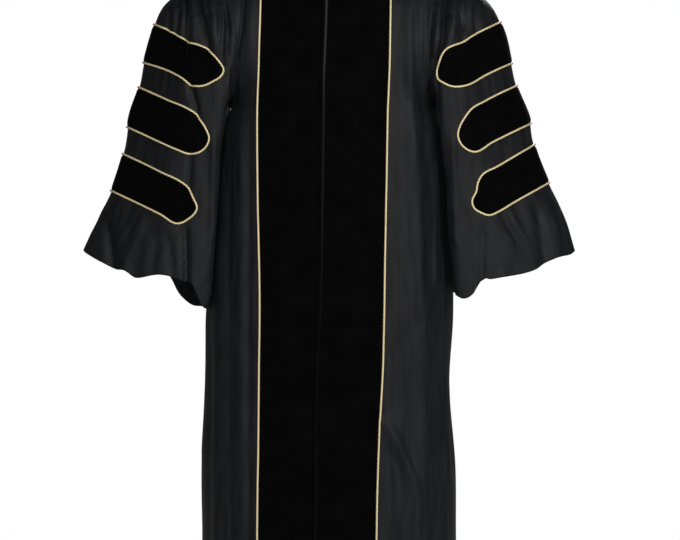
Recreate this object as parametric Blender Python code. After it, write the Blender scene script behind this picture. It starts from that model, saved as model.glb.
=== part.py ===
"""A doctoral graduation gown, hollow, as it hangs on its wearer.

Metres, +Z up, +X to the viewer's right, front towards -Y. The origin is the middle of the
neck opening, level with the points where the shoulder seams meet the neck. A drop is a
distance below the origin. Each cloth panel is a grid of points worked out from tables of
sections, and then a thin wall built on that grid. Trims are built on the panels' own points.
"""

import math
from collections import namedtuple

import bmesh
import bpy
import numpy as np

LEFT, RIGHT = -1, 1  # the viewer's left and right
SIDES = {LEFT: "left", RIGHT: "right"}

WALL = 0.0020  # woven cloth with its turnings
VELVET_WALL = 0.0015
SEAM_GAP = 0.0003  # between the pieces that a seam joins
TAPE_WALL = 0.0010
CORD_RADIUS = 0.0019  # gold piping
CORD_LIFT = 0.0018  # clearance under the cord where the cloth bends
CORD_SIDES = 4

NECK_HALF = 0.085
NECK_BACK = 0.087  # from the shoulder seam to the back of the neck
SEAM_Y = -0.012  # plane of the front shoulder seams
YOKE_BULGE = 0.005
HEM_DROP = 1.285
UNDERARM_DROP = 0.300
NECKLINE_DROP = 0.094  # where the two fronts meet
YOKE_NECK_TURN = 55.0  # degrees of the neck curve that each shoulder strap takes

ARMHOLE_FORWARD = 0.095
SHOULDER_ANGLE = math.degrees(math.asin(-SEAM_Y / ARMHOLE_FORWARD))  # round the armhole
YOKE_ANGLE = -60.0  # degrees round the armhole, corner of yoke and back
NECKLINE_ROWS = 3
ARMHOLE_ROWS = 10  # rows of a front beside its armhole, neckline rows included
SKIRT_ROWS = 10  # rows below the underarm
BACK_ARMHOLE_ROWS = 6
YOKE_ARMHOLE_ROWS = 3
BACK_COLUMNS = 24
VELVET_COLUMNS = (0.0, 0.04, 0.10, 0.40, 0.70, 1.0)  # centre edge to piping
SATIN_COLUMNS = (1.16, 1.32, 1.48, 1.64, 1.82, 2.0)  # piping to side seam
ROLL_COLUMN = 1  # column of the left velvet that stands up as a rolled edge
ROLL_HEIGHT = 0.0030
TAPE_COLUMN = 2  # the zip tape reaches as far as this column on each front
TAPE_SHORT_ROWS = 1  # the zip stops this many rows above the hem

CORD_STEP = 0.013  # a cord leaves out the points that come sooner, except at a corner
CORD_CORNER = math.radians(12.0)

# A lower roundness gives a boxier section. 1 is an ellipse.
BodySection = namedtuple("BodySection", "drop left right back roundness")
BODY = [
    BodySection(0.300, 0.188, 0.203, 0.116, 0.69),
    BodySection(0.318, 0.198, 0.2107, 0.1175, 0.69),
    BodySection(0.340, 0.207, 0.220, 0.119, 0.69),
    BodySection(0.400, 0.213, 0.227, 0.124, 0.70),
    BodySection(0.500, 0.2195, 0.2345, 0.130, 0.71),
    BodySection(0.600, 0.229, 0.242, 0.136, 0.74),
    BodySection(0.700, 0.237, 0.2435, 0.142, 0.76),
    BodySection(0.830, 0.239, 0.236, 0.151, 0.80),
    BodySection(1.000, 0.246, 0.248, 0.165, 0.82),
    BodySection(1.140, 0.2445, 0.249, 0.177, 0.84),
    BodySection(HEM_DROP, 0.247, 0.252, 0.190, 0.95),
]

CentreSection = namedtuple("CentreSection", "drop edge forward")
CENTRE = [
    CentreSection(NECKLINE_DROP, 0.0005, 0.086),
    CentreSection(0.155, -0.0015, 0.104),
    CentreSection(0.226, -0.0045, 0.115),
    CentreSection(0.303, -0.0055, 0.122),
    CentreSection(0.470, -0.0075, 0.130),
    CentreSection(0.686, -0.0115, 0.138),
    CentreSection(0.790, -0.017, 0.142),
    CentreSection(0.920, -0.0195, 0.147),
    CentreSection(1.060, -0.0201, 0.153),
    CentreSection(HEM_DROP, -0.0265, 0.164),
]

PipingLine = namedtuple("PipingLine", "drop left right")
PIPING = [
    PipingLine(0.000, 0.126, 0.121),
    PipingLine(0.088, 0.1285, 0.12),
    PipingLine(0.300, 0.134, 0.1135),
    PipingLine(0.480, 0.133, 0.1105),
    PipingLine(0.645, 0.1295, 0.107),
    PipingLine(0.790, 0.1305, 0.104),
    PipingLine(0.960, 0.132, 0.095),
    PipingLine(1.140, 0.134, 0.0906),
    PipingLine(HEM_DROP, 0.135, 0.088),
]

NecklinePoint = namedtuple("NecklinePoint", "part x forward drop")
NECKLINE = [
    NecklinePoint(0.00, NECK_HALF, -SEAM_Y, 0.000),
    NecklinePoint(0.33, 0.066, 0.045, 0.030),
    NecklinePoint(0.67, 0.036, 0.070, 0.062),
    NecklinePoint(1.00, 0.000, 0.086, NECKLINE_DROP),
]

BackLine = namedtuple("BackLine", "drop back")
BACK_LINE = [
    BackLine(0.105, 0.092),
    BackLine(0.180, 0.106),
    BackLine(0.240, 0.112),
    BackLine(0.300, 0.116),
]

Ring = namedtuple("Ring", "outer outer_drop inner inner_drop front back scoop")
SLEEVE_RINGS = {
    LEFT: [
        Ring(0.214, 0.041, 0.188, UNDERARM_DROP, ARMHOLE_FORWARD, 0.100, 0.024),
        Ring(0.262, 0.058, 0.1965, 0.296, 0.101, 0.106, 0.037),
        Ring(0.298, 0.080, 0.2065, 0.318, 0.105, 0.112, 0.053),
        Ring(0.325, 0.108, 0.213, 0.358, 0.106, 0.115, 0.065),
        Ring(0.344, 0.160, 0.219, 0.395, 0.106, 0.116, 0.068),
        Ring(0.356, 0.206, 0.222, 0.430, 0.105, 0.116, 0.068),
        Ring(0.368, 0.260, 0.2245, 0.465, 0.104, 0.116, 0.070),
        Ring(0.386, 0.315, 0.2265, 0.500, 0.103, 0.117, 0.075),
        Ring(0.396, 0.380, 0.230, 0.540, 0.103, 0.118, 0.078),
        Ring(0.4185, 0.452, 0.2335, 0.575, 0.105, 0.120, 0.085),
        Ring(0.445, 0.508, 0.238, 0.610, 0.108, 0.123, 0.092),
        Ring(0.462, 0.543, 0.242, 0.640, 0.110, 0.126, 0.096),
        Ring(0.477, 0.575, 0.246, 0.667, 0.112, 0.130, 0.095),
    ],
    RIGHT: [
        Ring(0.216, 0.041, 0.203, UNDERARM_DROP, ARMHOLE_FORWARD, 0.100, 0.012),
        Ring(0.262, 0.057, 0.2145, 0.294, 0.101, 0.106, 0.030),
        Ring(0.296, 0.078, 0.221, 0.319, 0.105, 0.112, 0.046),
        Ring(0.324, 0.110, 0.227, 0.358, 0.106, 0.115, 0.054),
        Ring(0.343, 0.151, 0.2325, 0.395, 0.106, 0.116, 0.058),
        Ring(0.356, 0.206, 0.236, 0.430, 0.105, 0.116, 0.063),
        Ring(0.368, 0.258, 0.240, 0.465, 0.104, 0.116, 0.064),
        Ring(0.391, 0.315, 0.242, 0.500, 0.103, 0.117, 0.068),
        Ring(0.400, 0.368, 0.245, 0.540, 0.103, 0.118, 0.072),
        Ring(0.427, 0.440, 0.2475, 0.575, 0.105, 0.120, 0.080),
        Ring(0.449, 0.485, 0.251, 0.610, 0.108, 0.123, 0.085),
        Ring(0.467, 0.528, 0.254, 0.640, 0.110, 0.126, 0.088),
        Ring(0.481, 0.575, 0.257, 0.664, 0.112, 0.130, 0.090),
    ],
}

HemPoint = namedtuple("HemPoint", "angle drop")
SLEEVE_HEMS = {
    LEFT: [
        HemPoint(-180.0, 0.680),
        HemPoint(-150.0, 0.688),
        HemPoint(-120.0, 0.689),
        HemPoint(-100.0, 0.686),
        HemPoint(-88.0, 0.682),
        HemPoint(-82.0, 0.671),
        HemPoint(-77.0, 0.655),
        HemPoint(-73.0, 0.632),
        HemPoint(-68.0, 0.614),
        HemPoint(-60.0, 0.606),
        HemPoint(-40.0, 0.592),
        HemPoint(-20.0, 0.580),
        HemPoint(0.0, 0.575),
        HemPoint(15.0, 0.584),
        HemPoint(30.0, 0.600),
        HemPoint(40.0, 0.612),
        HemPoint(46.0, 0.616),
        HemPoint(52.0, 0.629),
        HemPoint(58.0, 0.628),
        HemPoint(63.0, 0.624),
        HemPoint(72.0, 0.625),
        HemPoint(84.0, 0.635),
        HemPoint(91.0, 0.639),
        HemPoint(97.0, 0.660),
        HemPoint(104.0, 0.681),
        HemPoint(118.0, 0.688),
        HemPoint(140.0, 0.690),
        HemPoint(160.0, 0.686),
        HemPoint(180.0, 0.680),
    ],
    RIGHT: [
        HemPoint(-180.0, 0.657),
        HemPoint(-150.0, 0.658),
        HemPoint(-110.0, 0.657),
        HemPoint(-95.0, 0.655),
        HemPoint(-85.0, 0.646),
        HemPoint(-80.0, 0.636),
        HemPoint(-75.0, 0.628),
        HemPoint(-60.0, 0.612),
        HemPoint(-45.0, 0.600),
        HemPoint(-30.0, 0.588),
        HemPoint(-15.0, 0.579),
        HemPoint(0.0, 0.576),
        HemPoint(15.0, 0.584),
        HemPoint(30.0, 0.591),
        HemPoint(38.0, 0.600),
        HemPoint(45.0, 0.613),
        HemPoint(52.0, 0.620),
        HemPoint(60.0, 0.625),
        HemPoint(68.0, 0.629),
        HemPoint(76.0, 0.632),
        HemPoint(80.5, 0.630),
        HemPoint(84.0, 0.641),
        HemPoint(88.0, 0.657),
        HemPoint(93.0, 0.666),
        HemPoint(100.0, 0.6695),
        HemPoint(108.0, 0.666),
        HemPoint(125.0, 0.658),
        HemPoint(150.0, 0.657),
        HemPoint(180.0, 0.657),
    ],
}
HEM_FROM_RING = 8.5

# A positive height is a ridge, a negative one a furrow. Both fade out at their two ends.
SleeveFold = namedtuple("SleeveFold", "angle_top angle_low ring_top ring_low width height")
SLEEVE_FOLDS = {
    LEFT: [
        SleeveFold(40.0, 34.0, 0.0, 13.0, 11.0, -0.010),
        SleeveFold(64.0, 58.0, 0.0, 13.5, 11.0, 0.008),
        SleeveFold(86.0, 82.0, 0.0, 12.0, 10.0, -0.009),
        SleeveFold(120.0, 132.0, 1.0, 14.0, 14.0, -0.004),
        SleeveFold(-45.0, -50.0, 0.0, 14.0, 13.0, -0.010),
        SleeveFold(-95.0, -100.0, 0.0, 14.0, 14.0, 0.010),
        SleeveFold(-130.0, -135.0, 2.0, 14.0, 12.0, -0.008),
    ],
    RIGHT: [
        SleeveFold(48.0, 44.0, 0.0, 12.5, 11.0, -0.008),
        SleeveFold(72.0, 66.0, 0.0, 13.5, 11.0, 0.008),
        SleeveFold(98.0, 90.0, 0.0, 12.0, 10.0, -0.010),
        SleeveFold(125.0, 130.0, 1.0, 14.0, 14.0, -0.004),
        SleeveFold(-40.0, -48.0, 0.0, 14.0, 13.0, 0.009),
        SleeveFold(-80.0, -88.0, 0.0, 14.0, 13.0, -0.010),
        SleeveFold(-120.0, -128.0, 2.0, 14.0, 13.0, 0.009),
    ],
}

FrontFold = namedtuple("FrontFold", "across_top across_low row_top row_low width height")
FRONT_FOLDS = {
    LEFT: [
        FrontFold(1.40, 1.32, 1.0, 26.0, 0.13, 0.006),
        FrontFold(1.20, 1.16, 1.0, 26.0, 0.09, -0.004),
        FrontFold(1.72, 1.66, 4.0, 26.0, 0.12, 0.006),
        FrontFold(0.55, 0.50, 10.0, 30.0, 0.30, 0.005),
    ],
    RIGHT: [
        FrontFold(1.62, 1.55, 1.0, 26.0, 0.13, 0.007),
        FrontFold(1.30, 1.22, 1.0, 26.0, 0.12, -0.005),
        FrontFold(1.80, 1.86, 8.0, 26.0, 0.10, -0.005),
        FrontFold(0.45, 0.55, 10.0, 30.0, 0.30, 0.005),
    ],
}

Flute = namedtuple("Flute", "top low width depth")
FLUTES = [
    Flute(-0.74, -0.79, 0.10, 0.013),
    Flute(-0.47, -0.52, 0.12, 0.019),
    Flute(-0.24, -0.25, 0.10, 0.015),
    Flute(0.04, 0.02, 0.12, 0.020),
    Flute(0.27, 0.30, 0.10, 0.016),
    Flute(0.50, 0.54, 0.12, 0.019),
    Flute(0.76, 0.81, 0.09, 0.012),
]

# Each bar's outline from the front: in along its top edge, round its tip, out along its
# lower edge. It bulges everywhere, so each stretch bounds the bar with one plane.
OutlinePoint = namedtuple("OutlinePoint", "x drop")
Bar = namedtuple("Bar", "side outline")
BARS = {
    "left_1": Bar(
        LEFT,
        [
            OutlinePoint(0.336, 0.138),
            OutlinePoint(0.232, 0.188),
            OutlinePoint(0.210, 0.211),
            OutlinePoint(0.204, 0.227),
            OutlinePoint(0.216, 0.247),
            OutlinePoint(0.248, 0.258),
            OutlinePoint(0.354, 0.210),
        ],
    ),
    "left_2": Bar(
        LEFT,
        [
            OutlinePoint(0.367, 0.260),
            OutlinePoint(0.260, 0.311),
            OutlinePoint(0.240, 0.335),
            OutlinePoint(0.230, 0.361),
            OutlinePoint(0.246, 0.385),
            OutlinePoint(0.271, 0.389),
            OutlinePoint(0.387, 0.335),
        ],
    ),
    "left_3": Bar(
        LEFT,
        [
            OutlinePoint(0.397, 0.390),
            OutlinePoint(0.277, 0.450),
            OutlinePoint(0.262, 0.472),
            OutlinePoint(0.254, 0.494),
            OutlinePoint(0.268, 0.515),
            OutlinePoint(0.290, 0.523),
            OutlinePoint(0.4175, 0.460),
        ],
    ),
    "right_1": Bar(
        RIGHT,
        [
            OutlinePoint(0.336, 0.133),
            OutlinePoint(0.234, 0.185),
            OutlinePoint(0.219, 0.211),
            OutlinePoint(0.214, 0.233),
            OutlinePoint(0.222, 0.251),
            OutlinePoint(0.244, 0.258),
            OutlinePoint(0.262, 0.2565),
            OutlinePoint(0.3565, 0.210),
        ],
    ),
    "right_2": Bar(
        RIGHT,
        [
            OutlinePoint(0.368, 0.256),
            OutlinePoint(0.274, 0.305),
            OutlinePoint(0.258, 0.333),
            OutlinePoint(0.252, 0.354),
            OutlinePoint(0.264, 0.377),
            OutlinePoint(0.281, 0.384),
            OutlinePoint(0.391, 0.328),
        ],
    ),
    "right_3": Bar(
        RIGHT,
        [
            OutlinePoint(0.402, 0.371),
            OutlinePoint(0.297, 0.431),
            OutlinePoint(0.286, 0.458),
            OutlinePoint(0.280, 0.480),
            OutlinePoint(0.291, 0.502),
            OutlinePoint(0.311, 0.507),
            OutlinePoint(0.427, 0.444),
        ],
    ),
}

Cloth = namedtuple("Cloth", "name colour roughness metallic")
SATIN = Cloth("matte satin cloth", (0.016, 0.016, 0.017), 0.62, 0.0)
VELVET = Cloth("black cotton velvet", (0.004, 0.004, 0.004), 0.95, 0.0)
GOLD_CORD = Cloth("gold piping cord", (0.68, 0.54, 0.26), 0.45, 0.0)
TAPE = Cloth("black zip tape", (0.012, 0.012, 0.012), 0.75, 0.0)


def clear_scene():
    """Remove every object that the scene holds."""
    for obj in list(bpy.data.objects):
        bpy.data.objects.remove(obj, do_unlink=True)


def unit(vectors):
    """Each vector at length 1."""
    return vectors / np.linalg.norm(vectors, axis=-1, keepdims=True)


def column(table, name):
    """One named column of a table."""
    return [getattr(row, name) for row in table]


def smooth(places, values, at):
    """The value at one place on a smooth curve through the given values."""
    places = np.asarray(places, float)
    values = np.asarray(values, float)
    slopes = np.gradient(values, places)
    at = min(max(at, places[0]), places[-1])
    index = min(int(np.searchsorted(places, at, side="right")) - 1, len(places) - 2)
    step = places[index + 1] - places[index]
    part = (at - places[index]) / step
    start = values[index] * (1 + 2 * part) + slopes[index] * step * part
    end = values[index + 1] * (3 - 2 * part) - slopes[index + 1] * step * (1 - part)
    return start * (1 - part) ** 2 + end * part**2


def read(table, name, place, by="drop"):
    """A named column of a table, read smoothly at one place in another column."""
    return smooth(column(table, by), column(table, name), place)


def fade(value, low, high):
    """0 below low, 1 above high, and a smooth step between."""
    part = min(max((value - low) / (high - low), 0.0), 1.0)
    return part * part * (3 - 2 * part)


def angle_between(angle, other):
    """The signed difference of two angles, within 180 degrees either way."""
    return (angle - other + 180.0) % 360.0 - 180.0


# ---------------------------------------------------------------- sleeves


def ring_at(side, ring):
    """One ring of a sleeve, between the table's rings where ring isn't whole."""
    table = SLEEVE_RINGS[side]
    places = range(len(table))
    return Ring(*(smooth(places, column(table, name), ring) for name in Ring._fields))


def fold_height(folds, across, along, difference):
    """The sum of the ridges and furrows at one place of a panel."""
    height = 0.0
    for fold in folds:
        middle, start, end = fold[0], fold[2], fold[3]
        part = (along - start) / (end - start)
        if not 0.0 < part < 1.0:
            continue
        middle += (fold[1] - fold[0]) * part
        nearness = math.exp(-((difference(across, middle) / fold.width) ** 2))
        height += fold.height * nearness * fade(part, 0.0, 0.25) * fade(1 - part, 0.0, 0.12)
    return height


def sleeve_point(side, angle, ring):
    """A point of a sleeve: angle 0 is its outer line, 90 its front, 180 its underarm."""
    size = ring_at(side, ring)
    turn = math.radians(angle)
    outer = np.array([side * size.outer, 0.0, -size.outer_drop])
    inner = np.array([side * size.inner, 0.0, -size.inner_drop])
    half = (outer - inner) / 2
    depth = size.front if angle > 0 else size.back
    forward = np.array([0.0, -1.0, 0.0])
    point = (outer + inner) / 2 + half * math.cos(turn) + forward * depth * math.sin(turn)
    point[0] -= side * size.scoop * math.sin(turn) ** 2
    length = np.linalg.norm(half)
    out = unit(half / length**2 * math.cos(turn) + forward * math.sin(turn) / depth)
    point += out * fold_height(SLEEVE_FOLDS[side], angle, ring, angle_between)
    last = SLEEVE_RINGS[side][-1]
    middle = (last.outer_drop + last.inner_drop) / 2
    level = middle + (last.outer_drop - last.inner_drop) / 2 * math.cos(turn)
    hem = read(SLEEVE_HEMS[side], "drop", angle, by="angle")
    point[2] -= (hem - level) * fade(ring, HEM_FROM_RING, len(SLEEVE_RINGS[side]) - 1)
    return point


def armhole_normals(side, angles):
    """Directions that the walls on both sides of an armhole seam share."""
    turns = np.radians(np.asarray(angles, float))
    under = ((1 - np.cos(turns)) / 2) ** 2
    return unit(np.stack([side * (0.1 + 0.6 * under), -np.sin(turns), np.cos(turns)], axis=-1))


def front_armhole_angles():
    """Angles of the armhole points on a front, from the shoulder seam to the underarm."""
    return np.linspace(SHOULDER_ANGLE, 180.0, ARMHOLE_ROWS + 1)


def yoke_armhole_angles():
    """Angles of the armhole points on the yoke, from the front seam to the back corner."""
    return np.linspace(SHOULDER_ANGLE, YOKE_ANGLE, YOKE_ARMHOLE_ROWS + 1)


def back_armhole_angles():
    """Angles of the armhole points on the back, from the yoke to the underarm."""
    return np.linspace(YOKE_ANGLE, -180.0, BACK_ARMHOLE_ROWS + 1)


def sleeve_angles():
    """Every column of a sleeve, once round from the underarm over the back to the front."""
    back = back_armhole_angles()[::-1]
    yoke = yoke_armhole_angles()[::-1]
    front = front_armhole_angles()
    return [*back[:-1], *yoke[:-1], *front[:-1]]


# ---------------------------------------------------------------- fronts


def inner_edge(side, row):
    """A point of a front's neckline and centre edge."""
    if row <= NECKLINE_ROWS:
        part = row / NECKLINE_ROWS
        places = column(NECKLINE, "part")
        out = smooth(places, column(NECKLINE, "x"), part)
        forward = smooth(places, column(NECKLINE, "forward"), part)
        drop = smooth(places, column(NECKLINE, "drop"), part)
        return np.array([side * out + CENTRE[0].edge * part, -forward, -drop])
    drop = inner_drop(row)
    return np.array([read(CENTRE, "edge", drop), -read(CENTRE, "forward", drop), -drop])


def inner_drop(row):
    """The drop of a row at the centre edge, below the neckline."""
    if row <= ARMHOLE_ROWS:
        part = (row - NECKLINE_ROWS) / (ARMHOLE_ROWS - NECKLINE_ROWS)
        return NECKLINE_DROP + part * (UNDERARM_DROP - NECKLINE_DROP)
    return skirt_drop(row - ARMHOLE_ROWS)


def skirt_drop(row):
    """The drop of a row counted from the underarm."""
    return UNDERARM_DROP + (HEM_DROP - UNDERARM_DROP) * row / SKIRT_ROWS


def side_edge(side, drop):
    """A point of a side seam."""
    return np.array([side * read(BODY, SIDES[side], drop), 0.0, -drop])


def outer_edge(side, row):
    """A point of a front's armhole and side seam."""
    if row <= ARMHOLE_ROWS:
        angle = SHOULDER_ANGLE + (180.0 - SHOULDER_ANGLE) * row / ARMHOLE_ROWS
        return sleeve_point(side, angle, 0)
    return side_edge(side, skirt_drop(row - ARMHOLE_ROWS))


def section_depth(reach, edge, depth, drop):
    """How far a section stands out at a part of the way from its middle to its edge."""
    power = 2.0 / read(BODY, "roundness", drop)
    cut = 1.0 - (edge / depth) ** power
    return depth * (1.0 - cut * min(reach, 1.0) ** power) ** (1.0 / power)


def front_point(side, across, row):
    """A point of a front: across 0 is the centre edge, 1 the piping, 2 the side seam."""
    inner = inner_edge(side, row)
    outer = outer_edge(side, row)
    width = abs(outer[0] - inner[0])
    piping = side * read(PIPING, SIDES[side], -inner[2])
    piping_reach = abs(piping - inner[0]) / width
    piping_turn = math.asin(piping_reach)
    if across <= 1.0:
        reach = across * piping_reach
    else:
        reach = math.sin(piping_turn + (across - 1.0) * (math.pi / 2 - piping_turn))
    turn = math.asin(reach)
    x = inner[0] + side * width * reach
    y = -section_depth(reach, -outer[1], -inner[1], -outer[2])
    z = inner[2] + (outer[2] - inner[2]) * reach
    out = np.array([side * math.sin(turn), -math.cos(turn), 0.0])
    height = fold_height(FRONT_FOLDS[side], across, row, float.__sub__)
    at_side_seam = 1.0 - fade(across, 1.85, 2.0)
    at_shoulder = fade(row, 0.0, 2.0)
    return np.array([x, y, z]) + out * height * at_side_seam * at_shoulder


# ---------------------------------------------------------------- back and yoke


def back_edge(side, row):
    """A point of the back's armhole and side seam."""
    if row <= BACK_ARMHOLE_ROWS:
        angle = YOKE_ANGLE + (-180.0 - YOKE_ANGLE) * row / BACK_ARMHOLE_ROWS
        return sleeve_point(side, angle, 0)
    return side_edge(side, skirt_drop(row - BACK_ARMHOLE_ROWS))


def back_point(across, row):
    """A point of the back: across -1 and 1 are its edges, 0 its middle."""
    side = LEFT if across < 0 else RIGHT
    edge = back_edge(side, row)
    drop = -edge[2]
    if row <= BACK_ARMHOLE_ROWS:
        depth = read(BACK_LINE, "back", drop)
    else:
        depth = read(BODY, "back", drop)
    turn = abs(across) * math.pi / 2
    reach = math.sin(turn)
    x = edge[0] * reach
    y = section_depth(reach, edge[1], depth, drop)
    out = np.array([side * math.sin(turn), math.cos(turn), 0.0])
    rows = BACK_ARMHOLE_ROWS + SKIRT_ROWS
    height = 0.0
    for flute in FLUTES:
        middle = flute.top + (flute.low - flute.top) * row / rows
        height -= flute.depth * math.exp(-(((across - middle) / flute.width) ** 2))
    grown = fade(row, 0.0, 0.8 * rows)
    at_edges = 1.0 - fade(abs(across), 0.88, 1.0)
    return np.array([x, y, edge[2]]) + out * height * grown * at_edges


def neck_point(turn):
    """A point of the neck curve: 0 degrees is its right end, 180 its left end."""
    angle = math.radians(turn)
    y = SEAM_Y + NECK_BACK * math.sin(angle)
    return np.array([NECK_HALF * math.cos(angle), y, 0.006 * math.sin(angle)])


def yoke_grid():
    """Points of the yoke, from its right front seam round the back to its left one."""
    strap = list(yoke_armhole_angles()[:-1])
    outer = [sleeve_point(RIGHT, angle, 0) for angle in strap]
    turns = list(np.linspace(0.0, YOKE_NECK_TURN, YOKE_ARMHOLE_ROWS + 1)[:-1])
    outer += [back_point(across, 0) for across in np.linspace(1.0, -1.0, BACK_COLUMNS + 1)]
    turns += list(np.linspace(YOKE_NECK_TURN, 180.0 - YOKE_NECK_TURN, BACK_COLUMNS + 1))
    outer += [sleeve_point(LEFT, angle, 0) for angle in strap[::-1]]
    turns += list(np.linspace(180.0 - YOKE_NECK_TURN, 180.0, YOKE_ARMHOLE_ROWS + 1)[1:])
    inner = np.array([neck_point(turn) for turn in turns])
    outer = np.array(outer)
    middle = (inner + outer) / 2
    backward = np.clip(middle[:, 1:2], 0.0, None) / NECK_BACK
    middle += YOKE_BULGE * unit(np.array([0.0, 1.0, 1.0])) * backward
    return np.stack([inner, middle, outer])


# ---------------------------------------------------------------- walls


def outward_of(grid, facing, closed=False):
    """Unit normals of a grid of points, turned to the side that facing gives."""
    down = np.gradient(grid, axis=0)
    if closed:
        over = np.roll(grid, -1, axis=1) - np.roll(grid, 1, axis=1)
    else:
        over = np.gradient(grid, axis=1)
    return facing * unit(np.cross(over, down))


def flatten_axis(normals, axis):
    """Take one axis out of the directions along a seam that lies in a plane."""
    normals[..., axis] = 0.0
    normals[:] = unit(normals)


def pull_back(edge, neighbour):
    """Move a seam's points half the seam gap towards the row or column beside them."""
    edge += unit(neighbour - edge) * SEAM_GAP / 2


def grid_faces(rows, columns, closed):
    """Triangles of a grid, all with the same diagonal."""
    faces = []
    for row in range(rows - 1):
        for col in range(columns if closed else columns - 1):
            beside = (col + 1) % columns
            a, b = row * columns + col, row * columns + beside
            c, d = a + columns, b + columns
            faces += [(a, b, d), (a, d, c)]
    return faces


def sheet_mesh(points, outward, faces):
    """A bmesh of one cloth surface that keeps the outward direction at each point."""
    sheet = bmesh.new()
    layer = sheet.verts.layers.float_vector.new("outward")
    for point, direction in zip(points, outward):
        vert = sheet.verts.new(point)
        vert[layer] = tuple(direction)
    sheet.verts.ensure_lookup_table()
    for face in faces:
        sheet.faces.new([sheet.verts[index] for index in face])
    return sheet


def wall_mesh(sheet, low, high):
    """A closed wall between two distances outward from a surface, where low may be a list."""
    layer = sheet.verts.layers.float_vector["outward"]
    sheet.verts.index_update()
    count = len(sheet.verts)
    lows = np.broadcast_to(low, count)
    wall = bmesh.new()
    for raised in (0.0, high):
        for vert in sheet.verts:
            distance = lows[vert.index] + raised
            wall.verts.new(vert.co + vert[layer] * distance)
    wall.verts.ensure_lookup_table()
    for face in sheet.faces:
        corners = [vert.index for vert in face.verts]
        wall.faces.new([wall.verts[index + count] for index in corners])
        wall.faces.new([wall.verts[index] for index in reversed(corners)])
    for edge in sheet.edges:
        if len(edge.link_faces) == 1:
            a, b = (vert.index for vert in edge.verts)
            wall.faces.new([wall.verts[i] for i in (a, b, b + count, a + count)])
    bmesh.ops.recalc_face_normals(wall, faces=wall.faces)
    return wall


def material_of(cloth):
    """The plain material of one cloth, made once."""
    found = bpy.data.materials.get(cloth.name)
    if found:
        return found
    material = bpy.data.materials.new(cloth.name)
    material.use_nodes = True
    shader = material.node_tree.nodes["Principled BSDF"]
    shader.inputs["Base Color"].default_value = (*cloth.colour, 1.0)
    shader.inputs["Roughness"].default_value = cloth.roughness
    shader.inputs["Metallic"].default_value = cloth.metallic
    return material


def add_object(name, solid, cloth):
    """Put a bmesh in the scene as one named object."""
    mesh = bpy.data.meshes.new(name)
    solid.to_mesh(mesh)
    solid.free()
    mesh.shade_smooth()
    mesh.materials.append(material_of(cloth))
    obj = bpy.data.objects.new(name, mesh)
    bpy.context.scene.collection.objects.link(obj)
    return obj


def grid_sheet(grid, outward, closed=False):
    """The surface of a whole grid."""
    rows, columns = grid.shape[:2]
    faces = grid_faces(rows, columns, closed)
    return sheet_mesh(grid.reshape(-1, 3), outward.reshape(-1, 3), faces)


def add_panel(name, grid, outward, cloth, closed=False):
    """A cloth panel: a wall centred on its grid."""
    sheet = grid_sheet(grid, outward, closed)
    add_object(name, wall_mesh(sheet, -WALL / 2, WALL), cloth)
    return sheet


# ---------------------------------------------------------------- trims


def cord_mesh(middles, beside, up, closed):
    """A cord through the given points, whose section lies in the beside and up directions."""
    cord = bmesh.new()
    rings = []
    for middle, side_way, up_way in zip(middles, beside, up):
        ring = []
        for index in range(CORD_SIDES):
            turn = 2 * math.pi * (index + 0.5) / CORD_SIDES
            reach = side_way * math.cos(turn) + up_way * math.sin(turn)
            ring.append(cord.verts.new(middle + reach * CORD_RADIUS))
        rings.append(ring)
    pairs = list(zip(rings, rings[1:]))
    if closed:
        pairs.append((rings[-1], rings[0]))
    for ring, following in pairs:
        for index in range(CORD_SIDES):
            beyond = (index + 1) % CORD_SIDES
            cord.faces.new([ring[index], ring[beyond], following[beyond], following[index]])
    if not closed:
        cord.faces.new(rings[0])
        cord.faces.new(rings[-1][::-1])
    bmesh.ops.recalc_face_normals(cord, faces=cord.faces)
    return cord


def boundary_loop(sheet):
    """The points round a surface's edge, in order."""
    edges = {edge for edge in sheet.edges if len(edge.link_faces) == 1}
    edge = min(edges, key=lambda candidate: candidate.index)
    vert = edge.verts[0]
    loop = []
    while edges:
        edges.remove(edge)
        loop.append(vert)
        vert = edge.other_vert(vert)
        edge = next((other for other in vert.link_edges if other in edges), None)
        if edge is None:
            break
    return loop


def corners_of(loop):
    """A loop without the points that lie close together on its straighter stretches."""
    kept = []
    for before, vert, after in zip([loop[-1], *loop], loop, [*loop[1:], loop[0]]):
        turn = (vert.co - before.co).angle(after.co - vert.co)
        if not kept or turn > CORD_CORNER or (vert.co - kept[-1].co).length > CORD_STEP:
            kept.append(vert)
    return kept


def cord_height():
    """The height of a cord's middle above a panel's grid."""
    return WALL / 2 + CORD_RADIUS + CORD_LIFT


def edge_cord(sheet):
    """A cord that lies on the panel just outside the edge of a trim."""
    layer = sheet.verts.layers.float_vector["outward"]
    kept = corners_of(boundary_loop(sheet))
    points = np.array([vert.co for vert in kept])
    up = unit(np.array([vert[layer] for vert in kept]))
    middle_of_trim = np.mean([vert.co for vert in sheet.verts], axis=0)
    steps = unit(np.roll(points, -1, axis=0) - points)
    sideways = unit(np.cross(steps, up))
    sign = np.sign(np.sum(sideways * (points - middle_of_trim)))
    sideways *= sign
    before = np.roll(sideways, 1, axis=0)
    mitre = unit(before + sideways)
    widen = np.clip(np.sum(mitre * sideways, axis=1, keepdims=True), 0.5, 1.0)
    mitre = unit(mitre - up * np.sum(mitre * up, axis=1, keepdims=True))
    away = (CORD_RADIUS + SEAM_GAP) / widen
    middles = points + mitre * away + up * cord_height()
    return cord_mesh(middles, mitre / widen, up, closed=True)


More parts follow.
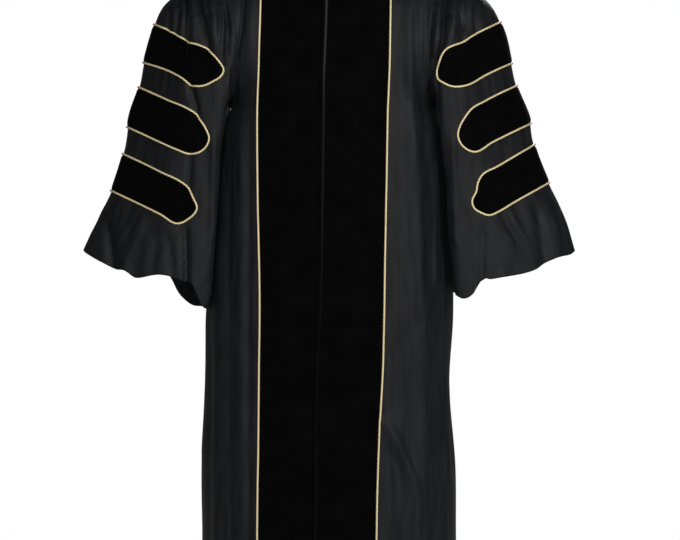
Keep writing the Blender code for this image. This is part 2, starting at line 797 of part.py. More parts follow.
def cut_to_bar(sheet, bar):
    """Keep only the part of a sleeve's surface that lies under one bar."""
    bar_sheet = sheet.copy()
    points = [np.array([bar.side * point.x, 0.0, -point.drop]) for point in bar.outline]
    middle = sum(points) / len(points)
    for point, beyond in zip(points[:-1], points[1:]):
        normal = unit(np.cross(beyond - point, (0.0, 1.0, 0.0)))
        normal *= np.sign(np.dot(normal, point - middle))
        geometry = [*bar_sheet.verts, *bar_sheet.edges, *bar_sheet.faces]
        bmesh.ops.bisect_plane(
            bar_sheet,
            geom=geometry,
            dist=1e-6,
            plane_co=point,
            plane_no=normal,
            clear_outer=True,
        )
    return bar_sheet


# ---------------------------------------------------------------- build


def build_front(side):
    """One front, its velvet panel and its piping. Returns its grid and directions."""
    name = SIDES[side]
    across = (*VELVET_COLUMNS, *SATIN_COLUMNS)
    rows = range(ARMHOLE_ROWS + SKIRT_ROWS + 1)
    grid = np.array([[front_point(side, a, float(row)) for a in across] for row in rows])
    outward = outward_of(grid, -side)
    flatten_axis(outward[:, 0], 0)
    flatten_axis(outward[0], 1)
    flatten_axis(outward[ARMHOLE_ROWS:, -1], 1)
    outward[: ARMHOLE_ROWS + 1, -1] = armhole_normals(side, front_armhole_angles())
    pull_back(grid[0], grid[1])
    pull_back(grid[:, -1], grid[:, -2])
    grid[NECKLINE_ROWS:, 0, 0] += side * SEAM_GAP / 2
    add_panel(f"front_{name}", grid, outward, SATIN)

    edge = len(VELVET_COLUMNS)
    lift = np.full(grid.shape[:2], WALL / 2 + SEAM_GAP)
    if side == LEFT:
        lift[NECKLINE_ROWS:, ROLL_COLUMN] += ROLL_HEIGHT
    velvet = grid_sheet(grid[:, :edge], outward[:, :edge])
    wall = wall_mesh(velvet, lift[:, :edge].ravel(), VELVET_WALL)
    add_object(f"velvet_{name}", wall, VELVET)

    line = grid[:, edge - 1]
    up = outward[:, edge - 1]
    beside = unit(grid[:, edge] - line)
    beside = unit(beside - up * np.sum(beside * up, axis=1, keepdims=True))
    middles = line + beside * (CORD_RADIUS + SEAM_GAP) + up * cord_height()
    cord = cord_mesh(middles, beside, up, closed=False)
    add_object(f"piping_{name}", cord, GOLD_CORD)
    return grid, outward


def build_zip(fronts):
    """The zip tape behind the two centre edges."""
    last = ARMHOLE_ROWS + SKIRT_ROWS + 1 - TAPE_SHORT_ROWS
    strips = {}
    for side, (grid, outward) in fronts.items():
        columns = (TAPE_COLUMN, 0) if side == LEFT else (0, TAPE_COLUMN)
        rows = slice(NECKLINE_ROWS, last)
        strips[side] = grid[rows][:, columns], outward[rows][:, columns]
    grid = np.concatenate([strips[LEFT][0], strips[RIGHT][0]], axis=1)
    outward = np.concatenate([strips[LEFT][1], strips[RIGHT][1]], axis=1)
    sheet = grid_sheet(grid, outward)
    wall = wall_mesh(sheet, -WALL / 2 - SEAM_GAP - TAPE_WALL, TAPE_WALL)
    add_object("front_zip", wall, TAPE)


def build_back():
    """The back, fluted below the yoke."""
    across = np.linspace(-1.0, 1.0, BACK_COLUMNS + 1)
    rows = range(BACK_ARMHOLE_ROWS + SKIRT_ROWS + 1)
    grid = np.array([[back_point(a, float(row)) for a in across] for row in rows])
    outward = outward_of(grid, 1)
    flatten_axis(outward[0], 2)
    for side, edge in ((LEFT, 0), (RIGHT, -1)):
        flatten_axis(outward[BACK_ARMHOLE_ROWS:, edge], 1)
        outward[: BACK_ARMHOLE_ROWS + 1, edge] = armhole_normals(side, back_armhole_angles())
    pull_back(grid[0], grid[1])
    pull_back(grid[:, 0], grid[:, 1])
    pull_back(grid[:, -1], grid[:, -2])
    add_panel("back", grid, outward, SATIN)


def build_yoke():
    """The yoke over both shoulders and across the back."""
    grid = yoke_grid()
    outward = outward_of(grid, -1)
    strap = YOKE_ARMHOLE_ROWS + 1
    flatten_axis(outward[:, 0], 1)
    flatten_axis(outward[:, -1], 1)
    flatten_axis(outward[-1, strap - 1 : -strap + 1], 2)
    outward[-1, :strap] = armhole_normals(RIGHT, yoke_armhole_angles())
    outward[-1, -strap:] = armhole_normals(LEFT, yoke_armhole_angles()[::-1])
    pull_back(grid[-1], grid[-2])
    pull_back(grid[:, 0], grid[:, 1])
    pull_back(grid[:, -1], grid[:, -2])
    add_panel("yoke", grid, outward, SATIN)


def build_sleeve(side):
    """One bell sleeve with its three bars and their piping."""
    name = SIDES[side]
    angles = sleeve_angles()
    rings = range(len(SLEEVE_RINGS[side]))
    grid = np.array([[sleeve_point(side, angle, ring) for angle in angles] for ring in rings])
    outward = outward_of(grid, side, closed=True)
    outward[0] = armhole_normals(side, angles)
    pull_back(grid[0], grid[1])
    sheet = add_panel(f"sleeve_{name}", grid, outward, SATIN, closed=True)
    for bar_name, bar in BARS.items():
        if bar.side != side:
            continue
        bar_sheet = cut_to_bar(sheet, bar)
        wall = wall_mesh(bar_sheet, WALL / 2 + SEAM_GAP, VELVET_WALL)
        add_object(f"bar_{bar_name}", wall, VELVET)
        add_object(f"bar_piping_{bar_name}", edge_cord(bar_sheet), GOLD_CORD)


def main():
    """Build the gown."""
    clear_scene()
    fronts = {side: build_front(side) for side in SIDES}
    build_zip(fronts)
    build_back()
    build_yoke()
    for side in SIDES:
        build_sleeve(side)


if __name__ == "__main__":
    main()
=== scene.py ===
"""Looks of a doctoral graduation gown, hollow as it hangs on its wearer.

Metres, +Z up, +X to the viewer's right, front towards -Y, as in the frame. A drop is a
distance below the neck opening. Each cloth piece is a thin shell on its solid's form, with
its folds placed in the gown's own sizes. Trims are made from the points of the
panel under them, moved out.
"""

import logging
import math
from dataclasses import dataclass, field, fields
from enum import Enum
from typing import Any, Iterable, Sequence

import bmesh
import bpy
import numpy as np
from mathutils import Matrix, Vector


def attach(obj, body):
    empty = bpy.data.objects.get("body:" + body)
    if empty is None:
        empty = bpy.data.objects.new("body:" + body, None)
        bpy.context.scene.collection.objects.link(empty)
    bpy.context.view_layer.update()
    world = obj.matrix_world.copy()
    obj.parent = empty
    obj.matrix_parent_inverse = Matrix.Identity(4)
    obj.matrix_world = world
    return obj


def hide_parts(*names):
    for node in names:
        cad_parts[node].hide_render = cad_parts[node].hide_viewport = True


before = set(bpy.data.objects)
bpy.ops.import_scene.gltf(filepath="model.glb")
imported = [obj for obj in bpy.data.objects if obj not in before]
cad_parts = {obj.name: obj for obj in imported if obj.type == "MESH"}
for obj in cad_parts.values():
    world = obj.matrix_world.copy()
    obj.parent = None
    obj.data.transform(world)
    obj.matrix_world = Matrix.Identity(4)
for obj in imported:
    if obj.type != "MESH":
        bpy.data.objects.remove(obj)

LOG = logging.getLogger("gown")
Array = np.ndarray
CORD_SIDES = 12
GROOVE_DEPTH = 0.26  # as a part of the cord's radius
WAVE_SCALE = 0.1 * math.pi  # the scale at which a wave texture's bands stand 1 m apart


class Side(Enum):
    """The viewer's left and right, as the sign of X."""

    LEFT = -1
    RIGHT = 1

    @property
    def label(self) -> str:
        """The side's name as the nodes use it."""
        return self.name.lower()


class Face(Enum):
    """Which layer of a hollow shape a fold lies on, as the sign of Y."""

    FRONT = -1
    BACK = 1


class Hold(Enum):
    """How a sheet of cloth is held."""

    DRAPED = "draped"
    HUNG = "hung"
    GATHERED = "gathered"
    LAID = "laid"


class Slot(Enum):
    """The record's material slots."""

    SATIN = "satin"
    VELVET = "velvet"
    PIPING = "gold_piping"
    TAPE = "zip_tape"


# ------------------------------------------------------------------ small tools


def unit(vectors: Array) -> Array:
    """Each vector at length 1."""
    return vectors / np.maximum(np.linalg.norm(vectors, axis=-1, keepdims=True), 1e-12)


def fade(value: Array, low: float, high: float) -> Array:
    """0 below low, 1 above high, and a smooth step between."""
    part = np.clip((np.asarray(value, float) - low) / (high - low), 0.0, 1.0)
    return part * part * (3.0 - 2.0 * part)


def smooth(places: Sequence[float], values: Sequence[float], at: Array) -> Array:
    """Values on a smooth curve through a table's rows.

    Args:
        places: Rising positions of the rows.
        values: One value for each row.
        at: Positions to read, held to the table's ends.

    Returns:
        One value for each position.
    """
    places, values = np.asarray(places, float), np.asarray(values, float)
    slopes = np.gradient(values, places)
    at = np.clip(np.asarray(at, float), places[0], places[-1])
    index = np.clip(np.searchsorted(places, at, side="right") - 1, 0, len(places) - 2)
    step = places[index + 1] - places[index]
    part = (at - places[index]) / step
    start = values[index] * (1 + 2 * part) + slopes[index] * step * part
    end = values[index + 1] * (3 - 2 * part) - slopes[index + 1] * step * (1 - part)
    return start * (1 - part) ** 2 + end * part**2


def read(table: Sequence[Any], name: str, at: Array) -> Array:
    """A named column of a table whose rows carry a drop, read smoothly at the given drops."""
    return smooth([row.drop for row in table], [getattr(row, name) for row in table], at)


def table(kind: type, *rows: Sequence[Any]) -> tuple[Any, ...]:
    """A table's rows as objects of one kind."""
    return tuple(kind(*row) for row in rows)


def angle_between(angle: Array, other: Array) -> Array:
    """The signed difference of two angles in degrees, within 180 either way."""
    return (angle - other + 180.0) % 360.0 - 180.0


def normals_of(grid: Array, facing: float, closed: bool = False) -> Array:
    """Unit normals of a grid of points.

    Args:
        grid: Points, rows by columns by 3.
        facing: 1 or -1, so that the normals point out.
        closed: True where the last column meets the first.

    Returns:
        One normal for each point.
    """
    down = np.gradient(grid, axis=0)
    if closed:
        over = np.roll(grid, -1, axis=1) - np.roll(grid, 1, axis=1)
    else:
        over = np.gradient(grid, axis=1)
    return facing * unit(np.cross(over, down))


def length_along(grid: Array, axis: int) -> Array:
    """Distance along the rows or columns of a grid, from its first line."""
    steps = np.linalg.norm(np.diff(grid, axis=axis), axis=-1)
    shape = list(steps.shape)
    shape[axis] = 1
    return np.concatenate([np.zeros(shape), np.cumsum(steps, axis=axis)], axis=axis)


# ------------------------------------------------------------------ finishes


def linear(code: str) -> tuple[float, float, float, float]:
    """An sRGB hex colour as linear RGBA."""
    parts = [int(code[index : index + 2], 16) / 255 for index in (1, 3, 5)]
    curve = [p / 12.92 if p <= 0.04045 else ((p + 0.055) / 1.055) ** 2.4 for p in parts]
    return (*curve, 1.0)


def set_inputs(tree: Any, node: Any, inputs: dict[Any, Any]) -> None:
    """Link an output socket, or set a value, at each named or numbered input of a node."""
    for name, value in inputs.items():
        if isinstance(value, bpy.types.NodeSocket):
            tree.links.new(value, node.inputs[name])
        else:
            node.inputs[name].default_value = value


def add_node(tree: Any, kind: str, inputs: dict[Any, Any], **settings: Any) -> Any:
    """Add one shader node.

    Args:
        tree: The node tree.
        kind: The node's type name, after "ShaderNode".
        inputs: A value or an output socket for each named or numbered input.
        settings: The node's own settings.

    Returns:
        The node.
    """
    node = tree.nodes.new(f"ShaderNode{kind}")
    for name, value in settings.items():
        setattr(node, name, value)
    set_inputs(tree, node, inputs)
    return node


@dataclass(frozen=True)
class Finish:
    """A named surface finish; its kinds say how they are made."""

    name: str
    slot: Slot

    def material(self) -> bpy.types.Material:
        """The finish's material, made once."""
        return bpy.data.materials.get(self.name) or self.build()

    def build(self) -> bpy.types.Material:
        """Make the material."""
        material = bpy.data.materials.new(self.name)
        material.use_nodes = True
        tree = material.node_tree
        place = add_node(tree, "UVMap", {}, uv_map="cloth").outputs["UV"]
        set_inputs(tree, tree.nodes["Principled BSDF"], self.look(tree, place))
        return material

    def look(self, tree: Any, place: Any) -> dict[str, Any]:
        """Values and sockets for the shader's inputs.

        Args:
            tree: The material's node tree.
            place: The socket of the cloth's own coordinates, in metres.

        Returns:
            One value or socket for each input that it names.
        """
        raise NotImplementedError


@dataclass(frozen=True)
class SatinWeave(Finish):
    """Black polyester gown cloth, satin woven and piece dyed.

    Its floats run down the cloth, so broad soft highlights follow the folds and fine lines
    run lengthwise. Threads are about 0.25 mm apart.
    """

    colour: str = "#0B0C0E"
    # a lighter tone, laid on in lengthwise streaks at random
    worn_colour: str = "#18191B"
    roughness: float = 0.52
    thread: float = 0.0012  # drawn about five times coarser than real, so that it shows
    crossing: float = 0.0015  # the crossing threads, drawn as coarse again
    slub_length: float = 0.060
    streak_width: float = 0.010
    streak_length: float = 0.080

    def look(self, tree: Any, place: Any) -> dict[str, Any]:
        """Lengthwise floats, crossing threads, a faint slub and lighter lengthwise streaks at random."""
        floats, crossings = (
            add_node(
                tree,
                "TexWave",
                {"Vector": place, "Scale": WAVE_SCALE / pitch, "Distortion": distortion},
                wave_type="BANDS",
                bands_direction=run,
            ).outputs["Fac"]
            for pitch, distortion, run in ((self.thread, 0.6, "X"), (self.crossing, 0.9, "Y"))
        )
        weave = add_node(tree, "Math", {0: floats, 1: crossings}, operation="ADD")
        stretched = add_node(
            tree, "Mapping", {"Vector": place, "Scale": (1.0 / self.thread, 1.0 / self.slub_length, 1.0)}
        )
        slub = add_node(
            tree, "TexNoise", {"Vector": stretched.outputs["Vector"], "Scale": 0.35, "Detail": 3.0}
        ).outputs["Fac"]
        height = add_node(tree, "Math", {0: weave.outputs[0], 1: slub}, operation="ADD")
        bump = add_node(
            tree, "Bump", {"Height": height.outputs[0], "Strength": 0.18, "Distance": 0.00025}
        )
        # lighter lengthwise streaks, spread at random
        lengthwise = add_node(
            tree,
            "Mapping",
            {"Vector": place, "Scale": (1.0 / self.streak_width, 1.0 / self.streak_length, 1.0)},
        )
        streak_noise = add_node(
            tree, "TexNoise", {"Vector": lengthwise.outputs["Vector"], "Scale": 1.0, "Detail": 3.0}
        )
        streaks = add_node(
            tree, "MapRange", {"Value": streak_noise.outputs["Fac"], "From Min": 0.32, "From Max": 0.68}
        )
        tint = add_node(
            tree,
            "Mix",
            {"Factor": streaks.outputs[0], 6: linear(self.colour), 7: linear(self.worn_colour)},
            data_type="RGBA",
        )
        rough = add_node(
            tree,
            "MapRange",
            {"Value": slub, "To Min": self.roughness - 0.05, "To Max": self.roughness + 0.08},
        )
        return {
            "Base Color": tint.outputs[2],
            "Roughness": rough.outputs[0],
            "Normal": bump.outputs["Normal"],
            "Specular IOR Level": 0.14,
            "Sheen Weight": 0.02,
            "Sheen Roughness": 0.45,
        }


@dataclass(frozen=True)
class CutVelvet(Finish):
    """Black cotton velvet, woven double and cut.

    The upright pile drinks the light, so faces are nearly black and only edges that turn
    away catch a thin grey bloom. Pile tufts are about 0.4 mm apart. Along the centre edge
    the roll carries a grey line, a painted highlight where the rolled edge catches the light.
    """

    colour: str = "#040404"
    crushed_colour: str = "#060606"
    # painted highlight: a pale grey for the line along the rolled centre edge
    pressed_colour: str = "#303030"
    tuft: float = 0.0011  # drawn about three times coarser than real, so that it shows

    def look(self, tree: Any, place: Any) -> dict[str, Any]:
        """Fine tufts under broad, faintly crushed patches, a pile bloom at grazing and a painted edge
        highlight.
        """
        crushed = add_node(
            tree, "TexNoise", {"Vector": place, "Scale": 22.0, "Detail": 3.0, "Roughness": 0.55}
        )
        patch = add_node(
            tree, "MapRange", {"Value": crushed.outputs["Fac"], "From Min": 0.42, "From Max": 0.70}
        )
        tint = add_node(
            tree,
            "Mix",
            {"Factor": patch.outputs[0], 6: linear(self.colour), 7: linear(self.crushed_colour)},
            data_type="RGBA",
        )
        # painted highlight: the grey line along the rolled centre edge, where it catches the light
        pressed = add_node(tree, "Attribute", {}, attribute_name="pressed", attribute_type="GEOMETRY")
        highlighted_tint = add_node(
            tree,
            "Mix",
            {"Factor": pressed.outputs["Fac"], 6: tint.outputs[2], 7: linear(self.pressed_colour)},
            data_type="RGBA",
        )
        tufts = add_node(tree, "TexNoise", {"Vector": place, "Scale": 1.0 / self.tuft, "Detail": 2.0})
        bump = add_node(tree, "Bump", {"Height": tufts.outputs["Fac"], "Strength": 0.5, "Distance": 0.0004})
        return {
            "Base Color": highlighted_tint.outputs[2],
            "Roughness": 0.95,
            "Normal": bump.outputs["Normal"],
            "Specular IOR Level": 0.03,
            "Sheen Weight": 0.035,
            "Sheen Roughness": 0.28,
        }


@dataclass(frozen=True)
class GoldCord(Finish):
    """Gold rayon piping cord, two plies twisted over a cotton core.

    Silky plies give it small bright glints, and painted shade makes its grooves darker and
    redder. Filaments lie about 0.1 mm apart, at a slant to the cord.
    """

    colour: str = "#E6D6A8"
    # painted shade: the darker, redder colour in the grooves between the plies
    groove_shade_colour: str = "#A58A50"
    filament: float = 0.0006  # drawn about six times coarser than real, so that it shows
    slant: float = 38.0
    twist_pitch: float = 0.0075

    def look(self, tree: Any, place: Any) -> dict[str, Any]:
        """Slanted filaments, and painted shade in the grooves where the plies meet."""
        turned = add_node(
            tree, "Mapping", {"Vector": place, "Rotation": (0.0, 0.0, math.radians(self.slant))}
        )
        filaments = add_node(
            tree,
            "TexWave",
            {"Vector": turned.outputs["Vector"], "Scale": WAVE_SCALE / self.filament},
            wave_type="BANDS",
            bands_direction="X",
        )
        # painted shade, darker and redder, where the plies meet
        groove_shade = add_node(tree, "Attribute", {}, attribute_name="groove_shade", attribute_type="GEOMETRY")
        tint = add_node(
            tree,
            "Mix",
            {"Factor": groove_shade.outputs["Fac"], 6: linear(self.colour), 7: linear(self.groove_shade_colour)},
            data_type="RGBA",
        )
        bump = add_node(
            tree, "Bump", {"Height": filaments.outputs["Fac"], "Strength": 0.35, "Distance": 0.0002}
        )
        return {
            "Base Color": tint.outputs[2],
            "Roughness": 0.42,
            "Metallic": 0.15,
            "Normal": bump.outputs["Normal"],
        }


@dataclass(frozen=True)
class WovenTape(Finish):
    """Black polyester zip tape, herringbone woven, matt and a little ribbed."""

    colour: str = "#151515"
    rib_colour: str = "#1C1C1C"
    rib: float = 0.0012

    def look(self, tree: Any, place: Any) -> dict[str, Any]:
        """Fine ribs across the tape."""
        ribs = add_node(
            tree,
            "TexWave",
            {"Vector": place, "Scale": WAVE_SCALE / self.rib, "Distortion": 0.3},
            wave_type="BANDS",
            bands_direction="DIAGONAL",
        ).outputs["Fac"]
        tint = add_node(
            tree,
            "Mix",
            {"Factor": ribs, 6: linear(self.colour), 7: linear(self.rib_colour)},
            data_type="RGBA",
        )
        bump = add_node(tree, "Bump", {"Height": ribs, "Strength": 0.4, "Distance": 0.0003})
        return {
            "Base Color": tint.outputs[2],
            "Roughness": 0.8,
            "Normal": bump.outputs["Normal"],
        }


SATIN = SatinWeave("black polyester, satin woven", Slot.SATIN)
VELVET = CutVelvet("black cotton velvet, cut pile", Slot.VELVET)
GOLD = GoldCord("gold rayon cord, two-ply twisted", Slot.PIPING)
TAPE = WovenTape("black polyester zip tape, woven", Slot.TAPE)


# ------------------------------------------------------------------ meshes


@dataclass
class Piece:
    """One visible piece that stands for a node of the frame."""

    node: str
    finish: Finish

    def place(self, mesh: bpy.types.Mesh) -> bpy.types.Object:
        """Put a mesh in the scene as this piece, dressed in its finish.

        Args:
            mesh: The finished mesh, in the frame's metres.

        Returns:
            The piece's object.
        """
        mesh.shade_smooth()
        mesh.materials.append(self.finish.material())
        obj = bpy.data.objects.new(f"cloth_{self.node}", mesh)
        bpy.context.scene.collection.objects.link(obj)
        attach(obj, "root")
        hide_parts(self.node)
        LOG.info("%s: %d faces", obj.name, len(mesh.polygons))
        return obj


def surface_mesh(grid: Array, normals: Array, closed: bool = False) -> bmesh.types.BMesh:
    """A surface of quads on a grid, with cloth coordinates in metres and outward directions.

    Args:
        grid: Points, rows by columns by 3.
        normals: Outward directions of the same shape.
        closed: True where the last column meets the first.

    Returns:
        A new bmesh.
    """
    rows, columns = grid.shape[:2]
    if closed:
        grid_u = np.concatenate([grid, grid[:, :1]], axis=1)
    else:
        grid_u = grid
    across = length_along(grid_u, 1)
    across -= across[:, across.shape[1] // 2, None]
    down = length_along(grid_u, 0)
    sheet = bmesh.new()
    outward = sheet.verts.layers.float_vector.new("outward")
    cloth = sheet.loops.layers.uv.new("cloth")
    verts = [sheet.verts.new(point) for point in grid.reshape(-1, 3)]
    for vert, normal in zip(verts, normals.reshape(-1, 3)):
        vert[outward] = tuple(normal)
    for row in range(rows - 1):
        for col in range(columns if closed else columns - 1):
            beside = (col + 1) % columns
            corners = (
                (row, col, col),
                (row, beside, col + 1),
                (row + 1, beside, col + 1),
                (row + 1, col, col),
            )
            face = sheet.faces.new([verts[r * columns + c] for r, c, _ in corners])
            for loop, (r, _, c) in zip(face.loops, corners):
                loop[cloth].uv = (across[r, c], down[r, c])
    return sheet


def faced_out(mesh: bpy.types.Mesh) -> bpy.types.Mesh:
    """A closed mesh, once its faces all point out."""
    solid = bmesh.new()
    solid.from_mesh(mesh)
    bmesh.ops.recalc_face_normals(solid, faces=solid.faces)
    solid.to_mesh(mesh)
    solid.free()
    return mesh


def carry(mesh: bpy.types.Mesh, name: str, values: Array) -> None:
    """Give a mesh one value at each point, for its finish to read."""
    mesh.attributes.new(name, "FLOAT", "POINT").data.foreach_set("value", values.ravel())


def shell_mesh(name: str, sheet: bmesh.types.BMesh, low: Array, high: Array) -> bpy.types.Mesh:
    """A closed thin shell between two distances outward from a surface.

    Args:
        name: The mesh's name.
        sheet: The surface, with its outward directions. It is freed.
        low: Distance of the inner layer at each point, or one for all.
        high: Distance of the outer layer at each point, or one for all.

    Returns:
        The shell's mesh.
    """
    sheet.verts.index_update()
    outward = sheet.verts.layers.float_vector["outward"]
    cloth = sheet.loops.layers.uv["cloth"]
    points = np.array([vert.co for vert in sheet.verts])
    ways = unit(np.array([vert[outward] for vert in sheet.verts]))
    count = len(points)
    lows = np.broadcast_to(np.asarray(low, float), count)[:, None]
    highs = np.broadcast_to(np.asarray(high, float), count)[:, None]
    outer = [tuple(vert.index for vert in face.verts) for face in sheet.faces]
    coordinates = [tuple(tuple(loop[cloth].uv) for loop in face.loops) for face in sheet.faces]
    rim, rim_coordinates = [], []
    for edge in sheet.edges:
        if len(edge.link_loops) == 1:
            loop = edge.link_loops[0]
            a, b = loop.vert.index, loop.link_loop_next.vert.index
            u, v = tuple(loop[cloth].uv), tuple(loop.link_loop_next[cloth].uv)
            rim.append((b + count, a + count, a, b))
            rim_coordinates.append((v, u, u, v))
    faces = [tuple(index + count for index in face) for face in outer]
    faces += [face[::-1] for face in outer] + rim
    coordinates += [corner[::-1] for corner in coordinates] + rim_coordinates
    mesh = bpy.data.meshes.new(name)
    mesh.from_pydata(np.concatenate([points + ways * lows, points + ways * highs]).tolist(), [], faces)
    layer = mesh.uv_layers.new(name="cloth")
    layer.data.foreach_set("uv", [value for corner in coordinates for uv in corner for value in uv])
    sheet.free()
    return faced_out(mesh)


def twisted_cord(name: str, line: "CordLine", radius: float, pitch: float) -> bpy.types.Mesh:
    """A two-ply cord along a line, with a painted-shade value in the grooves between its plies.

    Args:
        name: The mesh's name.
        line: The cord's middle line and its two section directions.
        radius: The cord's radius.
        pitch: Length of one full turn of the twist.

    Returns:
        The cord's mesh.
    """
    lengths = np.concatenate([[0.0], np.cumsum(np.linalg.norm(np.diff(line.middles, axis=0), axis=1))])
    whole = lengths[-1] + (np.linalg.norm(line.middles[0] - line.middles[-1]) if line.closed else 0.0)
    turns = max(round(whole / pitch), 1)
    sides = CORD_SIDES
    angles = 2 * math.pi * np.arange(sides) / sides
    ply = np.abs(np.cos(angles[None, :] - math.pi * turns * lengths[:, None] / whole))
    reach = radius * (1.0 - GROOVE_DEPTH + GROOVE_DEPTH * ply**0.6)
    ring = (
        line.beside[:, None] * np.cos(angles)[None, :, None]
        + line.up[:, None] * np.sin(angles)[None, :, None]
    )
    points = line.middles[:, None] + ring * reach[..., None]
    count = len(line.middles)
    faces, uvs = [], []
    for row in range(count if line.closed else count - 1):
        beyond = (row + 1) % count
        for col in range(sides):
            beside = (col + 1) % sides
            faces.append(
                (row * sides + col, row * sides + beside, beyond * sides + beside, beyond * sides + col)
            )
            start, end = lengths[row], lengths[row + 1] if row + 1 < count else whole
            left, right = radius * angles[col], radius * (angles[col] + 2 * math.pi / sides)
            uvs += [(left, start), (right, start), (right, end), (left, end)]
    if not line.closed:
        faces += [tuple(range(sides))[::-1], tuple(range((count - 1) * sides, count * sides))]
        uvs += [(0.0, 0.0)] * (2 * sides)
    mesh = bpy.data.meshes.new(name)
    mesh.from_pydata(points.reshape(-1, 3).tolist(), [], faces)
    mesh.uv_layers.new(name="cloth").data.foreach_set("uv", np.asarray(uvs).ravel())
    # painted shade in the grooves between the plies, for the cord's finish to read
    carry(mesh, "groove_shade", (1.0 - ply) ** 1.6)
    return faced_out(mesh)


@dataclass
class CordLine:
    """The middle line of a cord, with its sideways and upward directions."""

    middles: Array
    beside: Array
    up: Array
    closed: bool

    @classmethod
    def through(cls, points: Array, beside: Array, up: Array, closed: bool, step: float) -> "CordLine":
        """An evenly stepped line through uneven points.

        Args:
            points: Points in order.
            beside: Sideways directions at the points.
            up: Upward directions at the points.
            closed: True where the line ends where it starts.
            step: Distance between the new points.

        Returns:
            The new line.
        """
        if closed:
            points, beside, up = (np.concatenate([a, a[:1]]) for a in (points, beside, up))
        steps = np.linalg.norm(np.diff(points, axis=0), axis=1)
        along = np.concatenate([[0.0], np.cumsum(steps)])
        count = max(int(along[-1] / step), 8)
        at = np.linspace(0.0, along[-1], count + 1)
        if closed:
            at = at[:-1]
        arrays = [
            np.stack([np.interp(at, along, a[:, axis]) for axis in range(3)], axis=1)
            for a in (points, beside, up)
        ]
        middles, beside, up = (cls.eased(a, closed) for a in arrays)
        up = unit(up)
        beside = unit(beside - up * np.sum(beside * up, axis=1, keepdims=True))
        return cls(middles, beside, up, closed)

    @staticmethod
    def eased(values: Array, closed: bool) -> Array:
        """The values with each point moved to the mean of its neighbours, a few times."""
        for _ in range(3):
            if closed:
                values = (np.roll(values, 1, axis=0) + values * 2 + np.roll(values, -1, axis=0)) / 4
            else:
                values[1:-1] = (values[:-2] + values[1:-1] * 2 + values[2:]) / 4
        return values


# ------------------------------------------------------------------ folds


@dataclass(frozen=True)
class Fold:
    """A soft ridge or trough that runs down the cloth.

    The path gives its middle line as (x, drop) pairs. A positive height is a ridge. The two
    shares say how much of its length it takes to rise and to die away.
    """

    path: tuple[tuple[float, float], ...]
    width: float
    height: float
    rise: float = 0.25
    die: float = 0.30
    sharp: float = 2.0  # 2 is a round fold, 1 a creased one
    face: Face = Face.FRONT

    def lift(self, x: Array, drop: Array, facing_y: Array) -> Array:
        """How far the fold lifts each point.

        Args:
            x: Where the points are across the gown.
            drop: How far down they are.
            facing_y: The Y part of the cloth's outward direction there.

        Returns:
            Outward distances.
        """
        across, drops = zip(*self.path)
        middle = smooth(drops, across, drop)
        step = 0.002
        slope = (smooth(drops, across, drop + step) - smooth(drops, across, drop - step)) / (2 * step)
        distance = np.abs(x - middle) / np.sqrt(1.0 + slope**2)
        part = (drop - drops[0]) / (drops[-1] - drops[0])
        taper = fade(part, 0.0, self.rise) * fade(1.0 - part, 0.0, self.die)
        on_face = fade(facing_y * self.face.value, -0.05, 0.15)
        round_or_creased = np.exp(-((distance / self.width) ** self.sharp))
        return self.height * round_or_creased * taper * on_face


@dataclass(frozen=True)
class Flute:
    """A long fold in a panel's own coordinates, from its top line to its hem."""

    top: float
    low: float
    width: float
    height: float

    def lift(self, across: Array, part: Array, wrap: bool = False) -> Array:
        """How far the flute lifts each point, at a part of the way down."""
        middle = self.top + (self.low - self.top) * part
        distance = angle_between(across, middle) if wrap else across - middle
        return self.height * np.exp(-((distance / self.width) ** 2))


@dataclass(frozen=True)
class Unevenness:
    """Slow, small waves that keep hung cloth from looking pressed."""

    height: float = 0.0009
    seeds: tuple[tuple[float, float, float], ...] = (
        (19.0, 7.0, 0.4),
        (31.0, -9.0, 2.1),
        (47.0, 13.0, 4.4),
        (67.0, -21.0, 1.3),
        (11.0, 23.0, 5.2),
    )

    def lift(self, x: Array, y: Array, drop: Array) -> Array:
        """How far the waves lift each point."""
        total = np.zeros_like(x)
        for index, (wide, tall, phase) in enumerate(self.seeds):
            bend = 1.6 * np.sin(drop * (9.0 + 5.0 * index) + phase * 3.0)
            total += np.sin(x * wide * 2.2 + y * wide * 1.7 + drop * tall + phase + bend)
        return self.height * total / len(self.seeds) * 1.8


def draped(grid: Array, ways: Array, folds: Iterable[Fold], sign: float = 1.0) -> Array:
    """How far folds and the cloth's unevenness lift the points of a grid.

    Args:
        grid: Points, rows by columns by 3.
        ways: Their outward directions.
        folds: The folds, whose x counts from the middle to the sign's side.
        sign: 1 or -1.

    Returns:
        Outward distances, rows by columns.
    """
    x, drop = grid[..., 0], -grid[..., 2]
    lift = Unevenness().lift(x, grid[..., 1], drop)
    for fold in folds:
        lift += fold.lift(sign * x, drop, ways[..., 1])
    return lift


# ------------------------------------------------------------------ the gown's form


@dataclass(frozen=True)
class Section:
    """A level section of the body. A lower roundness is boxier; 1 is an ellipse."""

    drop: float
    left: float
    right: float
    back: float
    roundness: float


@dataclass(frozen=True)
class CentrePoint:
    """A point of the centre edge: where it lies across, and how far forward."""

    drop: float
    edge: float
    forward: float


@dataclass(frozen=True)
class PipingPoint:
    """Where the piping crosses a level on each front."""

    drop: float
    left: float
    right: float


@dataclass(frozen=True)
class NecklinePoint:
    """A point of a front's neckline."""

    part: float
    x: float
    forward: float
    drop: float


@dataclass(frozen=True)
class BackPoint:
    """How far back the middle of the back stands beside the armholes."""

    drop: float
    back: float


@dataclass(frozen=True)
class Ring:
    """One ring of a sleeve, from its outer line to its underarm line."""

    outer: float
    outer_drop: float
    inner: float
    inner_drop: float
    front: float
    back: float
    scoop: float = 0.0


@dataclass(frozen=True)
class HemPoint:
    """How low a sleeve's hem hangs at an angle."""

    angle: float
    drop: float


